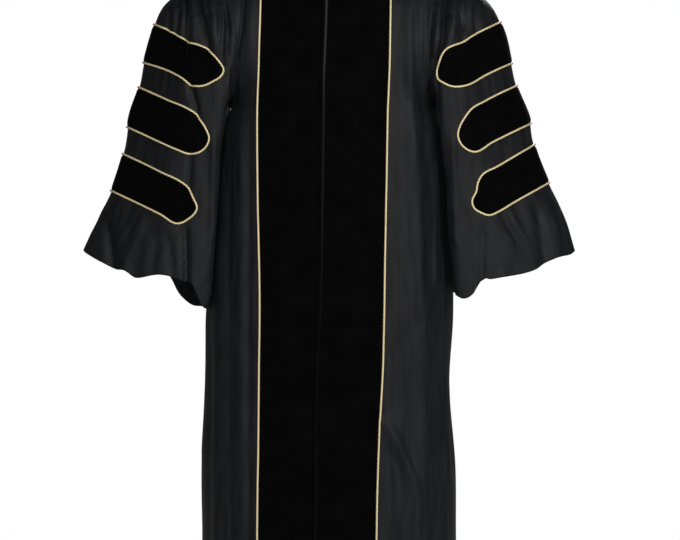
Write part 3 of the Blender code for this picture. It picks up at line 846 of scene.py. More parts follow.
@dataclass(frozen=True)
class SleeveForm:
    """The tube of one sleeve. Angle 0 is its outer line, 90 its front, 180 its underarm."""

    side: Side
    rings: tuple[Ring, ...]
    flutes: tuple[Flute, ...]
    hem: tuple[HemPoint, ...]
    folds: tuple[Fold, ...]
    hem_from: float = 8.5
    head_height: float = 0.006
    head_length: float = 0.016
    seam_ease: float = 0.012  # folds die away this close to the armhole seam
    hem_turn: float = 0.020  # the hem's stitching runs this far above its edge
    stitch_depth: float = 0.0004
    stitch_width: float = 0.0012

    @property
    def last(self) -> int:
        """The number of the hem's ring."""
        return len(self.rings) - 1

    def ring_sizes(self, rings: Array) -> Ring:
        """The sizes of rings, also between the table's."""
        places = range(len(self.rings))
        names = [one.name for one in fields(Ring)]
        return Ring(*(smooth(places, [getattr(r, n) for r in self.rings], rings) for n in names))

    def base(self, angles: Array, rings: Array) -> Array:
        """Points of the smooth tube.

        Args:
            angles: Degrees round the tube, one for each column.
            rings: Places along it, one for each row.

        Returns:
            Points, rows by columns by 3.
        """
        size = self.ring_sizes(np.asarray(rings, float)[:, None])
        angles = np.asarray(angles, float)[None, :]
        turn = np.radians(angles)
        cos, sin = np.cos(turn), np.sin(turn)
        depth = np.where(angles > 0, size.front, size.back)
        x = (size.outer + size.inner) / 2 + (size.outer - size.inner) / 2 * cos - size.scoop * sin**2
        drop = (size.outer_drop + size.inner_drop) / 2 + (size.outer_drop - size.inner_drop) / 2 * cos
        hem = smooth([point.angle for point in self.hem], [point.drop for point in self.hem], angles)
        last = self.rings[-1]
        level = (last.outer_drop + last.inner_drop) / 2 + (last.outer_drop - last.inner_drop) / 2 * cos
        drop = drop + (hem - level) * fade(rings, self.hem_from, self.last)[:, None]
        return np.stack([self.side.value * x, -depth * sin, -drop + 0.0 * x], axis=-1)

    def surface(self, angles: Array, rings: Array) -> tuple[Array, Array]:
        """Points of the draped sleeve and their outward directions."""
        grid = self.base(angles, rings)
        ways = normals_of(grid, self.side.value, closed=True)
        along = length_along(grid, 0)
        near_seam = fade(along, 0.0, self.seam_ease)
        part = (np.asarray(rings, float) / self.last)[:, None]
        lift = draped(grid, ways, self.folds, self.side.value)
        for flute in self.flutes:
            lift += flute.lift(np.asarray(angles)[None, :], part, wrap=True) * fade(part, 0.0, 0.35)
        lift *= near_seam
        head = fade(along, 0.0, self.head_length) * (1.0 - fade(along, 0.03, 0.10))
        lift += self.head_height * head * fade(ways[..., 1] * Face.FRONT.value, 0.1, 0.6)
        from_hem = length_along(grid[::-1], 0)[::-1]
        lift -= self.stitch_depth * np.exp(-(((from_hem - self.hem_turn) / self.stitch_width) ** 2))
        grid = grid + ways * lift[..., None]
        return grid, normals_of(grid, self.side.value, closed=True)


@dataclass(frozen=True)
class BodyForm:
    """The body of the gown: its fronts, back and yoke."""

    neck_half: float = 0.085
    neck_back: float = 0.087
    seam_y: float = -0.012
    hem_drop: float = 1.285
    underarm_drop: float = 0.300
    neckline_drop: float = 0.094
    armhole_forward: float = 0.095
    yoke_angle: float = -60.0
    yoke_neck_turn: float = 55.0
    yoke_bulge: float = 0.005
    neck_rise: float = 0.006  # how far the neckline stands above the origin at the back
    neckline_rows: float = 3.0
    armhole_rows: float = 10.0
    skirt_rows: float = 10.0
    back_armhole_rows: float = 6.0
    sections: tuple[Section, ...] = table(
        Section,
        (0.300, 0.188, 0.203, 0.116, 0.69), (0.318, 0.198, 0.2107, 0.1175, 0.69),
        (0.340, 0.207, 0.220, 0.119, 0.69), (0.400, 0.213, 0.227, 0.124, 0.70),
        (0.500, 0.2195, 0.2345, 0.130, 0.71), (0.600, 0.229, 0.242, 0.136, 0.74),
        (0.700, 0.237, 0.2435, 0.142, 0.76), (0.830, 0.239, 0.236, 0.151, 0.80),
        (1.000, 0.246, 0.248, 0.165, 0.82), (1.140, 0.2445, 0.249, 0.177, 0.84),
        (1.285, 0.247, 0.252, 0.190, 0.95),
    )
    centre: tuple[CentrePoint, ...] = table(
        CentrePoint,
        (0.094, 0.0005, 0.086), (0.155, -0.0015, 0.104), (0.226, -0.0045, 0.115), (0.303, -0.0055, 0.122),
        (0.470, -0.0075, 0.130), (0.686, -0.0115, 0.138), (0.790, -0.017, 0.142), (0.920, -0.0195, 0.147),
        (1.060, -0.0201, 0.153), (1.285, -0.0265, 0.164),
    )
    piping: tuple[PipingPoint, ...] = table(
        PipingPoint,
        (0.000, 0.126, 0.121), (0.088, 0.1285, 0.120), (0.300, 0.134, 0.1135), (0.480, 0.133, 0.1105),
        (0.645, 0.1295, 0.107), (0.790, 0.1305, 0.104), (0.960, 0.132, 0.095), (1.140, 0.134, 0.0906),
        (1.285, 0.135, 0.088),
    )
    neckline: tuple[NecklinePoint, ...] = table(
        NecklinePoint,
        (0.00, 0.085, 0.012, 0.000), (0.33, 0.066, 0.045, 0.030), (0.67, 0.036, 0.070, 0.062),
        (1.00, 0.000, 0.086, 0.094),
    )
    back_line: tuple[BackPoint, ...] = table(
        BackPoint,
        (0.105, 0.092), (0.180, 0.106), (0.240, 0.112), (0.300, 0.116),
    )

    @property
    def shoulder_angle(self) -> float:
        """Degrees round the armhole of the front shoulder seam."""
        return math.degrees(math.asin(-self.seam_y / self.armhole_forward))

    @property
    def front_rows(self) -> float:
        """The number of a front's hem row."""
        return self.armhole_rows + self.skirt_rows

    @property
    def back_rows(self) -> float:
        """The number of the back's hem row."""
        return self.back_armhole_rows + self.skirt_rows

    def skirt_drop(self, rows: Array) -> Array:
        """The drop of rows counted from the underarm."""
        return self.underarm_drop + (self.hem_drop - self.underarm_drop) * rows / self.skirt_rows

    def side_edge(self, side: Side, drop: Array) -> Array:
        """Points of a side seam."""
        half = read(self.sections, side.label, drop)
        return np.stack([side.value * half, np.zeros_like(drop), -drop], axis=-1)

    def armhole(self, sleeve: SleeveForm, angles: Array) -> Array:
        """Points of an armhole seam."""
        return sleeve.base(angles, np.zeros(1))[0]

    def inner_edge(self, side: Side, rows: Array) -> Array:
        """Points of a front's neckline and centre edge."""
        part = np.clip(rows / self.neckline_rows, 0.0, 1.0)
        places = [point.part for point in self.neckline]
        column = {n: [getattr(p, n) for p in self.neckline] for n in ("x", "forward", "drop")}
        neck_x = side.value * smooth(places, column["x"], part) + self.centre[0].edge * part
        neck = (neck_x, -smooth(places, column["forward"], part), -smooth(places, column["drop"], part))
        beside = (rows - self.neckline_rows) / (self.armhole_rows - self.neckline_rows)
        beside_drop = self.neckline_drop + beside * (self.underarm_drop - self.neckline_drop)
        drop = np.where(rows <= self.armhole_rows, beside_drop, self.skirt_drop(rows - self.armhole_rows))
        below = (read(self.centre, "edge", drop), -read(self.centre, "forward", drop), -drop)
        on_neck = (rows <= self.neckline_rows)[:, None]
        return np.where(on_neck, np.stack(neck, axis=-1), np.stack(below, axis=-1))

    def outer_edge(self, side: Side, sleeve: SleeveForm, rows: Array) -> Array:
        """Points of a front's armhole and side seam."""
        part = np.clip(rows / self.armhole_rows, 0.0, 1.0)
        angles = self.shoulder_angle + (180.0 - self.shoulder_angle) * part
        seam = self.side_edge(side, self.skirt_drop(np.maximum(rows - self.armhole_rows, 0.0)))
        return np.where((rows <= self.armhole_rows)[:, None], self.armhole(sleeve, angles), seam)

    def depth_at(self, reach: Array, edge: Array, depth: Array, drop: Array) -> Array:
        """How far a section stands out.

        Args:
            reach: Part of the way from its middle to its edge.
            edge: How far it stands out at its edge.
            depth: How far it stands out in its middle.
            drop: Where it is.

        Returns:
            Distances, of reach's shape.
        """
        power = 2.0 / read(self.sections, "roundness", drop)
        cut = 1.0 - (edge / depth) ** power
        return depth * np.maximum(1.0 - cut * np.clip(reach, 0, 1) ** power, 0.0) ** (1.0 / power)

    def front(self, side: Side, sleeve: SleeveForm, across: Array, rows: Array) -> Array:
        """Points of a front.

        Args:
            side: Which front.
            sleeve: The sleeve whose armhole it meets.
            across: 0 at the centre edge, 1 at the piping, 2 at the side seam.
            rows: 0 at the shoulder, front_rows at the hem.

        Returns:
            Points, rows by columns by 3.
        """
        rows = np.asarray(rows, float)
        inner = self.inner_edge(side, rows)
        outer = self.outer_edge(side, sleeve, rows)
        across = np.asarray(across, float)[None, :]
        width = np.abs(outer[:, 0] - inner[:, 0])[:, None]
        piping = side.value * read(self.piping, side.label, -inner[:, 2])
        piping_reach = np.abs(piping - inner[:, 0])[:, None] / width
        turn = np.arcsin(np.clip(piping_reach, 0.0, 1.0))
        beyond = np.sin(turn + (np.maximum(across, 1.0) - 1.0) * (math.pi / 2 - turn))
        reach = np.where(across <= 1.0, across * piping_reach, beyond)
        x = inner[:, 0:1] + side.value * width * reach
        drop = -outer[:, 2:3]
        y = -self.depth_at(reach, -outer[:, 1:2], -inner[:, 1:2], drop)
        z = inner[:, 2:3] + (outer[:, 2:3] - inner[:, 2:3]) * reach
        return np.stack([x, y, z], axis=-1)

    def back(self, sleeves: dict[Side, SleeveForm], across: Array, rows: Array) -> Array:
        """Points of the back, from across -1 at its left edge to 1 at its right one."""
        rows, across = np.asarray(rows, float), np.asarray(across, float)
        part = np.clip(rows / self.back_armhole_rows, 0.0, 1.0)
        angles = self.yoke_angle + (-180.0 - self.yoke_angle) * part
        beside = (rows <= self.back_armhole_rows)[:, None]
        edges = {}
        for side, sleeve in sleeves.items():
            seam = self.side_edge(side, self.skirt_drop(np.maximum(rows - self.back_armhole_rows, 0.0)))
            edges[side] = np.where(beside, self.armhole(sleeve, angles), seam)
        right = (across >= 0)[None, :]
        edge_x, edge_y, edge_z = (
            np.where(right, edges[Side.RIGHT][:, [axis]], edges[Side.LEFT][:, [axis]]) for axis in range(3)
        )
        drop = -edges[Side.RIGHT][:, 2:3]
        depth = np.where(beside, read(self.back_line, "back", drop), read(self.sections, "back", drop))
        reach = np.sin(np.abs(across)[None, :] * math.pi / 2)
        y = self.depth_at(reach, edge_y, depth, drop)
        return np.stack([edge_x * reach, y, edge_z + 0.0 * reach], axis=-1)


# ------------------------------------------------------------------ pieces


@dataclass
class Gown:
    """The sizes and forms that the gown's pieces share."""

    body: BodyForm
    sleeves: dict[Side, SleeveForm]
    shell: float = 0.0016
    velvet_gap: float = 0.0004
    velvet_height: float = 0.0022
    cord_radius: float = 0.0020
    cord_step: float = 0.0014
    front_lines: int = 240

    def satin(self, node: str, sheet: bmesh.types.BMesh) -> bpy.types.Object:
        """A satin piece on a surface, half its thickness to each side."""
        half = self.shell / 2
        return Piece(node, SATIN).place(shell_mesh(node, sheet, -half, half))

    def front_places(self) -> Array:
        """Evenly spaced rows of a front, from its shoulder to its hem."""
        return np.linspace(0.0, self.body.front_rows, self.front_lines)


@dataclass
class FrontPanel:
    """One front with its velvet panel and piping."""

    gown: Gown
    side: Side
    folds: tuple[Fold, ...]
    velvet_folds: tuple[Fold, ...]
    flat: tuple[float, float] = (0.36, 1.30)
    flat_area: float = 0.385
    velvet_flat: tuple[float, float] = (0.127, 1.29)
    roll: bool = False
    roll_height: float = 0.0036
    roll_width: float = 0.0070
    roll_low_width: float = 0.0040
    # where the painted highlight lies from the rolled edge, and how wide it is
    pressed_middle: float = 0.0022
    pressed_width: float = 0.0021
    edge_height: float = 0.45  # the velvet's height at its edges, as a part of the rest
    roll_hollow: float = 0.6  # how far the roll's inside follows its outside
    centre_ease: float = 0.35  # the part of a fold that reaches the centre edge
    side_tuck: float = 0.0012  # how far the side seam is drawn in
    side_tuck_reach: float = 0.03
    roll_columns: tuple[float, int] = (0.12, 22)  # closer columns up to here, for the roll
    columns: tuple[int, int, int] = (34, 80, 52)  # below the velvet, beyond it, and the velvet's
    piping_lines: int = 420
    piping_start: float = 0.06

    def surface(self, across: Array, rows: Array) -> tuple[Array, Array]:
        """Points of the hung front and their outward directions."""
        body, sleeve = self.gown.body, self.gown.sleeves[self.side]
        grid = body.front(self.side, sleeve, across, rows)
        ways = normals_of(grid, -self.side.value)
        lift = draped(grid, ways, (*self.folds, *self.velvet_folds), self.side.value)
        across = np.asarray(across, float)[None, :]
        rows = np.asarray(rows, float)[:, None]
        at_centre = self.centre_ease + (1.0 - self.centre_ease) * fade(across, 0.0, 0.15)
        lift *= (1.0 - fade(across, 1.90, 2.0)) * fade(rows, 0.0, 1.0) * at_centre
        lift -= self.side_tuck * np.exp(-(2.0 - across) / self.side_tuck_reach)
        grid = grid + ways * lift[..., None]
        return grid, normals_of(grid, -self.side.value)

    def build_cloth(self) -> bpy.types.Object:
        """The satin front itself."""
        below, beyond, _ = self.columns
        across = np.concatenate([np.linspace(0.0, 1.0, below)[:-1], np.linspace(1.0, 2.0, beyond)])
        grid, ways = self.surface(across, self.gown.front_places())
        obj = self.gown.satin(f"front_{self.side.label}", surface_mesh(grid, ways))
        return obj

    def build_velvet(self) -> bpy.types.Object:
        """The velvet panel on the front, with its rolled centre edge where it has one."""
        limit, close = self.roll_columns
        across = [np.linspace(0.0, limit, close)[:-1], np.linspace(limit, 1.0, self.columns[2])]
        rows = self.gown.front_places()
        grid, ways = self.surface(np.concatenate(across), rows)
        from_edge = length_along(grid, 1)
        to_edge = from_edge[:, -1:] - from_edge
        soft_edge = fade(np.minimum(to_edge, from_edge + 0.002), -0.001, 0.004)
        high = self.gown.velvet_height * (self.edge_height + (1.0 - self.edge_height) * soft_edge)
        low = np.zeros_like(high)
        if self.roll:
            part = np.clip(-grid[:, :1, 2] / self.gown.body.hem_drop, 0.0, 1.0)
            width = self.roll_width + (self.roll_low_width - self.roll_width) * part
            below_neck = fade(rows, self.gown.body.neckline_rows - 0.3, self.gown.body.neckline_rows + 0.1)
            bulge = np.sqrt(np.clip(1.0 - ((from_edge - width) / width) ** 2, 0.0, 1.0))
            rolled = self.roll_height * bulge * below_neck[:, None]
            high = high + rolled
            low = low + rolled * self.roll_hollow
        base = self.gown.shell / 2 + self.gown.velvet_gap
        name = f"velvet_{self.side.label}"
        mesh = shell_mesh(name, surface_mesh(grid, ways), base + low.ravel(), base + high.ravel())
        # the painted highlight along the rolled edge, for the velvet's finish to read
        carry(mesh, "pressed", np.tile(self.pressed_edge(from_edge, grid).ravel(), 2))
        obj = Piece(name, VELVET).place(mesh)
        return obj

    def pressed_edge(self, from_edge: Array, grid: Array) -> Array:
        """How strong the painted highlight is along the rolled edge, less so lower down."""
        if not self.roll:
            return np.zeros(from_edge.shape)
        # the painted highlight's strength at each drop
        drops, parts = zip((0.09, 0.9), (0.20, 1.0), (0.27, 0.50), (0.40, 0.30), (0.57, 0.15), (1.29, 0.07))
        strength = smooth(drops, parts, -grid[..., 2])
        return strength * np.exp(-(((from_edge - self.pressed_middle) / self.pressed_width) ** 2))

    def build_piping(self) -> bpy.types.Object:
        """The gold cord along the velvet's outer edge."""
        rows = np.linspace(self.piping_start, self.gown.body.front_rows, self.piping_lines)
        grid, ways = self.surface(np.array([0.97, 1.0, 1.03]), rows)
        up = ways[:, 1]
        beside = unit(grid[:, 2] - grid[:, 0])
        radius = self.gown.cord_radius
        lifted = self.gown.shell / 2 + radius + self.gown.velvet_gap
        middles = grid[:, 1] + beside * radius * 0.9 + up * lifted
        line = CordLine.through(middles, beside, up, False, self.gown.cord_step)
        mesh = twisted_cord(f"piping_{self.side.label}", line, radius, GOLD.twist_pitch)
        return Piece(f"piping_{self.side.label}", GOLD).place(mesh)


@dataclass
class ZipTape:
    """The woven tape that closes the fronts, left and right, from behind."""

    fronts: tuple[FrontPanel, FrontPanel]
    reach: float = 0.10
    thickness: float = 0.0009
    gap: float = 0.0003
    lines: int = 200
    columns: int = 5
    flat: tuple[float, float] = (0.030, 1.10)

    def build(self) -> bpy.types.Object:
        """The tape, made from both fronts' points and moved in."""
        body = self.fronts[0].gown.body
        rows = np.linspace(body.neckline_rows, body.front_rows - 1.0, self.lines)
        across = np.linspace(0.0, self.reach, self.columns)
        left, right = self.fronts
        halves = (left.surface(across[::-1], rows), right.surface(across, rows))
        grid, ways = (np.concatenate(pair, axis=1) for pair in zip(*halves))
        inner = -left.gown.shell / 2 - self.gap
        mesh = shell_mesh("front_zip", surface_mesh(grid, ways), inner - self.thickness, inner)
        obj = Piece("front_zip", TAPE).place(mesh)
        return obj


@dataclass
class BackPanel:
    """The back, gathered into the yoke and fluted down to its hem."""

    gown: Gown
    flutes: tuple[Flute, ...]
    folds: tuple[Fold, ...]
    flat: tuple[float, float] = (0.74, 1.19)
    flat_area: float = 0.74
    columns: int = 180
    lines: int = 190
    eased_lines: int = 8
    eased_reach: float = 0.065

    def eased(self, grid: Array, across: Array) -> Array:
        """The back's points, with its change of slope at the underarm eased away from the edges."""
        lines = self.eased_lines
        padded = np.pad(grid, ((lines, lines), (0, 0), (0, 0)), mode="edge")
        means = sum(padded[start : start + len(grid)] for start in range(2 * lines + 1)) / (2 * lines + 1)
        distance = (-grid[..., 2] - self.gown.body.underarm_drop) / self.eased_reach
        weight = np.exp(-(distance**2)) * (1.0 - fade(np.abs(across), 0.80, 0.97))[None, :]
        return grid + (means - grid) * weight[..., None]

    def build(self) -> bpy.types.Object:
        """The whole back."""
        body = self.gown.body
        across = np.linspace(-1.0, 1.0, self.columns)
        rows = np.linspace(0.0, body.back_rows, self.lines)
        grid = self.eased(body.back(self.gown.sleeves, across, rows), across)
        ways = normals_of(grid, 1.0)
        part = (rows / body.back_rows)[:, None]
        lift = np.zeros(grid.shape[:2])
        for flute in self.flutes:
            lift += flute.lift(across[None, :], part)
        lift = lift * fade(part, 0.0, 0.8) + draped(grid, ways, self.folds)
        lift *= (1.0 - fade(np.abs(across), 0.88, 1.0))[None, :]
        grid = grid + ways * lift[..., None]
        obj = self.gown.satin("back", surface_mesh(grid, normals_of(grid, 1.0)))
        return obj


@dataclass
class Yoke:
    """The yoke over both shoulders and across the back."""

    gown: Gown
    strap_columns: int = 18
    line_columns: int = 90
    rows: int = 34
    flat: tuple[float, float] = (0.45, 0.22)
    flat_area: float = 0.062

    def outer_line(self) -> tuple[Array, Array]:
        """The yoke's outer edge and the neck turn that each of its points belongs to."""
        body = self.gown.body
        strap = np.linspace(body.shoulder_angle, body.yoke_angle, self.strap_columns + 1)[:-1]
        across = np.linspace(1.0, -1.0, self.line_columns + 1)
        right = body.armhole(self.gown.sleeves[Side.RIGHT], strap)
        line = body.back(self.gown.sleeves, across, np.zeros(1))[0]
        left = body.armhole(self.gown.sleeves[Side.LEFT], strap[::-1])
        turn = body.yoke_neck_turn
        turns = [
            np.linspace(0.0, turn, self.strap_columns + 1)[:-1],
            np.linspace(turn, 180.0 - turn, self.line_columns + 1),
            np.linspace(180.0 - turn, 180.0, self.strap_columns + 1)[1:],
        ]
        return np.concatenate([right, line, left]), np.concatenate(turns)

    def build(self) -> bpy.types.Object:
        """The whole yoke."""
        body = self.gown.body
        outer, turns = self.outer_line()
        angle = np.radians(turns)
        cos, sin = np.cos(angle), np.sin(angle)
        inner = np.stack(
            [body.neck_half * cos, body.seam_y + body.neck_back * sin, body.neck_rise * sin], axis=-1
        )
        part = np.linspace(0.0, 1.0, self.rows)[:, None, None]
        grid = inner[None] * (1.0 - part) + outer[None] * part
        middle_y = np.clip((inner + outer)[None, :, 1:2] / 2, 0.0, None) / body.neck_back
        out = unit(np.array([0.0, 1.0, 1.0]))
        grid = grid + out * body.yoke_bulge * middle_y * 4.0 * part * (1.0 - part)
        ways = normals_of(grid, -1.0)
        lift = Unevenness(height=0.0005).lift(grid[..., 0], grid[..., 1], -grid[..., 2])
        lift = lift * (fade(part, 0.0, 0.2) * fade(1.0 - part, 0.0, 0.2))[..., 0]
        grid = grid + ways * lift[..., None]
        obj = self.gown.satin("yoke", surface_mesh(grid, normals_of(grid, -1.0)))
        return obj


@dataclass(frozen=True)
class Bar:
    """One velvet bar of a sleeve, with its outline from the front as (x, drop) pairs.

    The outline runs in along the top edge, round the tip and out along the lower edge. It
    goes on past the sleeve's outer line, so that the bar wraps on to the back.
    """

    number: int
    outline: tuple[tuple[float, float], ...]
    samples: int = 110
    reach: float = 0.06

    def line(self) -> Array:
        """The outline as a smooth line, run out past the sleeve at both ends."""
        points = np.array(self.outline)
        along = np.concatenate([[0.0], np.cumsum(np.linalg.norm(np.diff(points, axis=0), axis=1))])
        at = np.linspace(0.0, along[-1], self.samples)
        line = np.stack([smooth(along, points[:, axis], at) for axis in (0, 1)], axis=1)
        start = line[0] + unit(points[0] - points[1]) * self.reach
        end = line[-1] + unit(points[-1] - points[-2]) * self.reach
        return np.concatenate([[start], line, [end]])

    def inside(self, x: Array, drop: Array) -> Array:
        """How far inside the outline each point lies; negative is outside."""
        line = self.line()
        points = np.stack([x, drop], axis=1)
        nearest = np.full(len(points), np.inf)
        for start, end in zip(line[:-1], line[1:]):
            way = end - start
            part = np.clip((points - start) @ way / (way @ way), 0.0, 1.0)
            nearest = np.minimum(nearest, np.linalg.norm(points - start - part[:, None] * way, axis=1))
        within = np.zeros(len(points), bool)
        for start, end in zip(line, np.roll(line, -1, axis=0)):
            if start[1] == end[1]:
                continue
            crossing = start[0] + (end[0] - start[0]) * (drop - start[1]) / (end[1] - start[1])
            within ^= ((start[1] > drop) != (end[1] > drop)) & (x < crossing)
        return np.where(within, nearest, -nearest)


@dataclass
class Sleeve:
    """One bell sleeve with its bars and their piping."""

    gown: Gown
    side: Side
    bars: tuple[Bar, ...]
    flat: tuple[float, float] = (0.80, 0.66)
    flat_area: float = 0.385
    bar_flat: tuple[float, float] = (0.41, 0.076)
    bar_edge: float = 0.006
    cut_margin: float = 0.008
    cord_gap: float = 0.0003
    least_step: float = 0.0002  # points of a bar's edge closer than this are left out
    columns: int = 180
    lines: int = 160
    sheet: bmesh.types.BMesh | None = field(default=None, repr=False)

    def build_cloth(self) -> bpy.types.Object:
        """The sleeve itself."""
        form = self.gown.sleeves[self.side]
        angles = np.linspace(-180.0, 180.0, self.columns + 1)[:-1]
        grid, ways = form.surface(angles, np.linspace(0.0, form.last, self.lines))
        self.sheet = surface_mesh(grid, ways, closed=True)
        obj = self.gown.satin(f"sleeve_{self.side.label}", self.sheet.copy())
        return obj

    def cut_out(self, bar: Bar) -> tuple[bmesh.types.BMesh, Array]:
        """A bar's surface, cut from the sleeve's own.

        Args:
            bar: Which bar.

        Returns:
            The surface, and how far inside the bar's outline each of its points lies.
        """
        sheet = self.sheet.copy()
        depth = sheet.verts.layers.float.new("inside")
        points = np.array([vert.co for vert in sheet.verts])
        values = bar.inside(self.side.value * points[:, 0], -points[:, 2])
        for vert, value in zip(sheet.verts, values):
            vert[depth] = value if abs(value) > 1e-6 else 1e-6
        far = [f for f in sheet.faces if all(v[depth] < -self.cut_margin for v in f.verts)]
        bmesh.ops.delete(sheet, geom=far, context="FACES")
        crossings = []
        for edge in [e for e in sheet.edges if e.verts[0][depth] * e.verts[1][depth] < 0.0]:
            start, end = edge.verts
            part = start[depth] / (start[depth] - end[depth])
            _, vert = bmesh.utils.edge_split(edge, start, part)
            vert[depth] = 0.0
            crossings.append(vert)
        bmesh.ops.connect_verts(sheet, verts=crossings)
        outside = [f for f in sheet.faces if any(v[depth] < -1e-7 for v in f.verts)]
        bmesh.ops.delete(sheet, geom=outside, context="FACES")
        return sheet, np.array([vert[depth] for vert in sheet.verts])

    def build_bar(self, bar: Bar) -> list[bpy.types.Object]:
        """A bar and its piping.

        Args:
            bar: Which bar.

        Returns:
            The velvet bar and its cord.
        """
        name = f"{self.side.label}_{bar.number}"
        sheet, inside = self.cut_out(bar)
        line = self.cord_line(sheet)
        high = self.gown.velvet_height * (0.40 + 0.75 * fade(inside, 0.0, self.bar_edge))
        base = self.gown.shell / 2 + self.gown.velvet_gap
        mesh = shell_mesh(f"bar_{name}", sheet, base, base + high)
        velvet = Piece(f"bar_{name}", VELVET).place(mesh)
        cord = twisted_cord(f"bar_piping_{name}", line, self.gown.cord_radius, GOLD.twist_pitch)
        return [velvet, Piece(f"bar_piping_{name}", GOLD).place(cord)]

    def cord_line(self, sheet: bmesh.types.BMesh) -> CordLine:
        """The line of the cord round a bar's edge."""
        outward = sheet.verts.layers.float_vector["outward"]
        left = {edge: None for edge in sheet.edges if len(edge.link_faces) == 1}
        loop: list[bmesh.types.BMVert] = []
        while left:
            edge = next(iter(left))
            vert, found = edge.verts[0], []
            while edge is not None:
                del left[edge]
                found.append(vert)
                vert = edge.other_vert(vert)
                edge = next((other for other in vert.link_edges if other in left), None)
            loop = max(loop, found, key=len)
        points = np.array([vert.co for vert in loop])
        up = unit(np.array([vert[outward] for vert in loop]))
        kept = np.linalg.norm(points - np.roll(points, 1, axis=0), axis=1) > self.least_step
        points, up = points[kept], up[kept]
        steps = unit(np.roll(points, -1, axis=0) - np.roll(points, 1, axis=0))
        beside = unit(np.cross(steps, up))
        middle = points.mean(axis=0)
        beside *= np.sign(np.sum(beside * (points - middle)))
        radius = self.gown.cord_radius
        middles = points + beside * radius * 0.8 + up * (self.gown.shell / 2 + radius + self.cord_gap)
        return CordLine.through(middles, beside, up, True, self.gown.cord_step)

    def build(self) -> None:
        """The sleeve, its three bars and their piping."""
        self.build_cloth()
        for bar in self.bars:
            self.build_bar(bar)
        self.sheet.free()


# ------------------------------------------------------------------ studio


@dataclass
class Studio:
    """A plain pale floor, soft light and the camera."""

    floor_drop: float = 1.45
    floor_half: float = 3.0
    camera_x: float = 0.0234
    camera_drop: float = 0.614
    camera_back: float = 12.0
    view_width: float = 1.326
    sensor: float = 36.0
    aim: tuple[float, float, float] = (0.0, 0.0, -0.55)
    lights: tuple[tuple[str, tuple[float, float, float], float, float], ...] = (
        ("key", (2.1, -3.6, 1.1), 1.2, 104.0),
        ("fill", (-0.6, -4.0, 0.9), 1.6, 72.0),
        ("back_light", (0.6, 3.0, 1.4), 1.6, 60.0),
    )

    def build_floor(self) -> None:
        """A pale floor under the gown."""
        material = bpy.data.materials.new("matt white paint, rolled")
        material.use_nodes = True
        tree = material.node_tree
        grain = add_node(tree, "TexNoise", {"Scale": 60.0, "Detail": 2.0})
        bump = add_node(tree, "Bump", {"Height": grain.outputs["Fac"], "Strength": 0.05})
        look = {"Base Color": linear("#F6F6F6"), "Roughness": 0.9, "Normal": bump.outputs["Normal"]}
        set_inputs(tree, tree.nodes["Principled BSDF"], look)
        bpy.ops.mesh.primitive_circle_add(
            vertices=96, radius=self.floor_half, fill_type="NGON", location=(0.0, 0.0, -self.floor_drop)
        )
        floor = bpy.context.object
        floor.name = "studio_floor"
        floor.data.materials.append(material)

    def build_world(self) -> None:
        """An even white surround, dimmer as a light than it looks behind the gown."""
        world = bpy.data.worlds.new("studio")
        bpy.context.scene.world = world
        world.use_nodes = True
        tree = world.node_tree
        seen = add_node(tree, "LightPath", {}).outputs["Is Camera Ray"]
        strength = add_node(tree, "MapRange", {"Value": seen, "To Min": 0.10, "To Max": 1.0})
        look = {"Color": (1.0, 1.0, 1.0, 1.0), "Strength": strength.outputs[0]}
        set_inputs(tree, tree.nodes["Background"], look)

    def add_light(self, name: str, place: Sequence[float], size: float, power: float) -> None:
        """One square area light aimed at the gown's middle, its size in metres and power in watts."""
        data = bpy.data.lights.new(name, "AREA")
        data.size, data.energy = size, power
        light = bpy.data.objects.new(name, data)
        light.location = place
        way = np.array(self.aim) - np.array(place)
        light.rotation_euler = Vector(way.tolist()).to_track_quat("-Z", "Y").to_euler()
        bpy.context.scene.collection.objects.link(light)

    def build_camera(self) -> None:
        """The camera, level in front of the gown."""
        data = bpy.data.cameras.new("camera")
        data.sensor_width = self.sensor
        data.lens = self.sensor * self.camera_back / self.view_width
        data.clip_end = 100.0
        camera = bpy.data.objects.new("camera", data)
        camera.location = (self.camera_x, -self.camera_back, -self.camera_drop)
        camera.rotation_euler = (math.pi / 2, 0.0, 0.0)
        bpy.context.scene.collection.objects.link(camera)
        bpy.context.scene.camera = camera

    def build(self) -> None:
        """The whole studio."""
        self.build_floor()
        self.build_world()
        for light in self.lights:
            self.add_light(*light)
        self.build_camera()
        bpy.context.scene.view_settings.view_transform = "Standard"


# ------------------------------------------------------------------ this gown


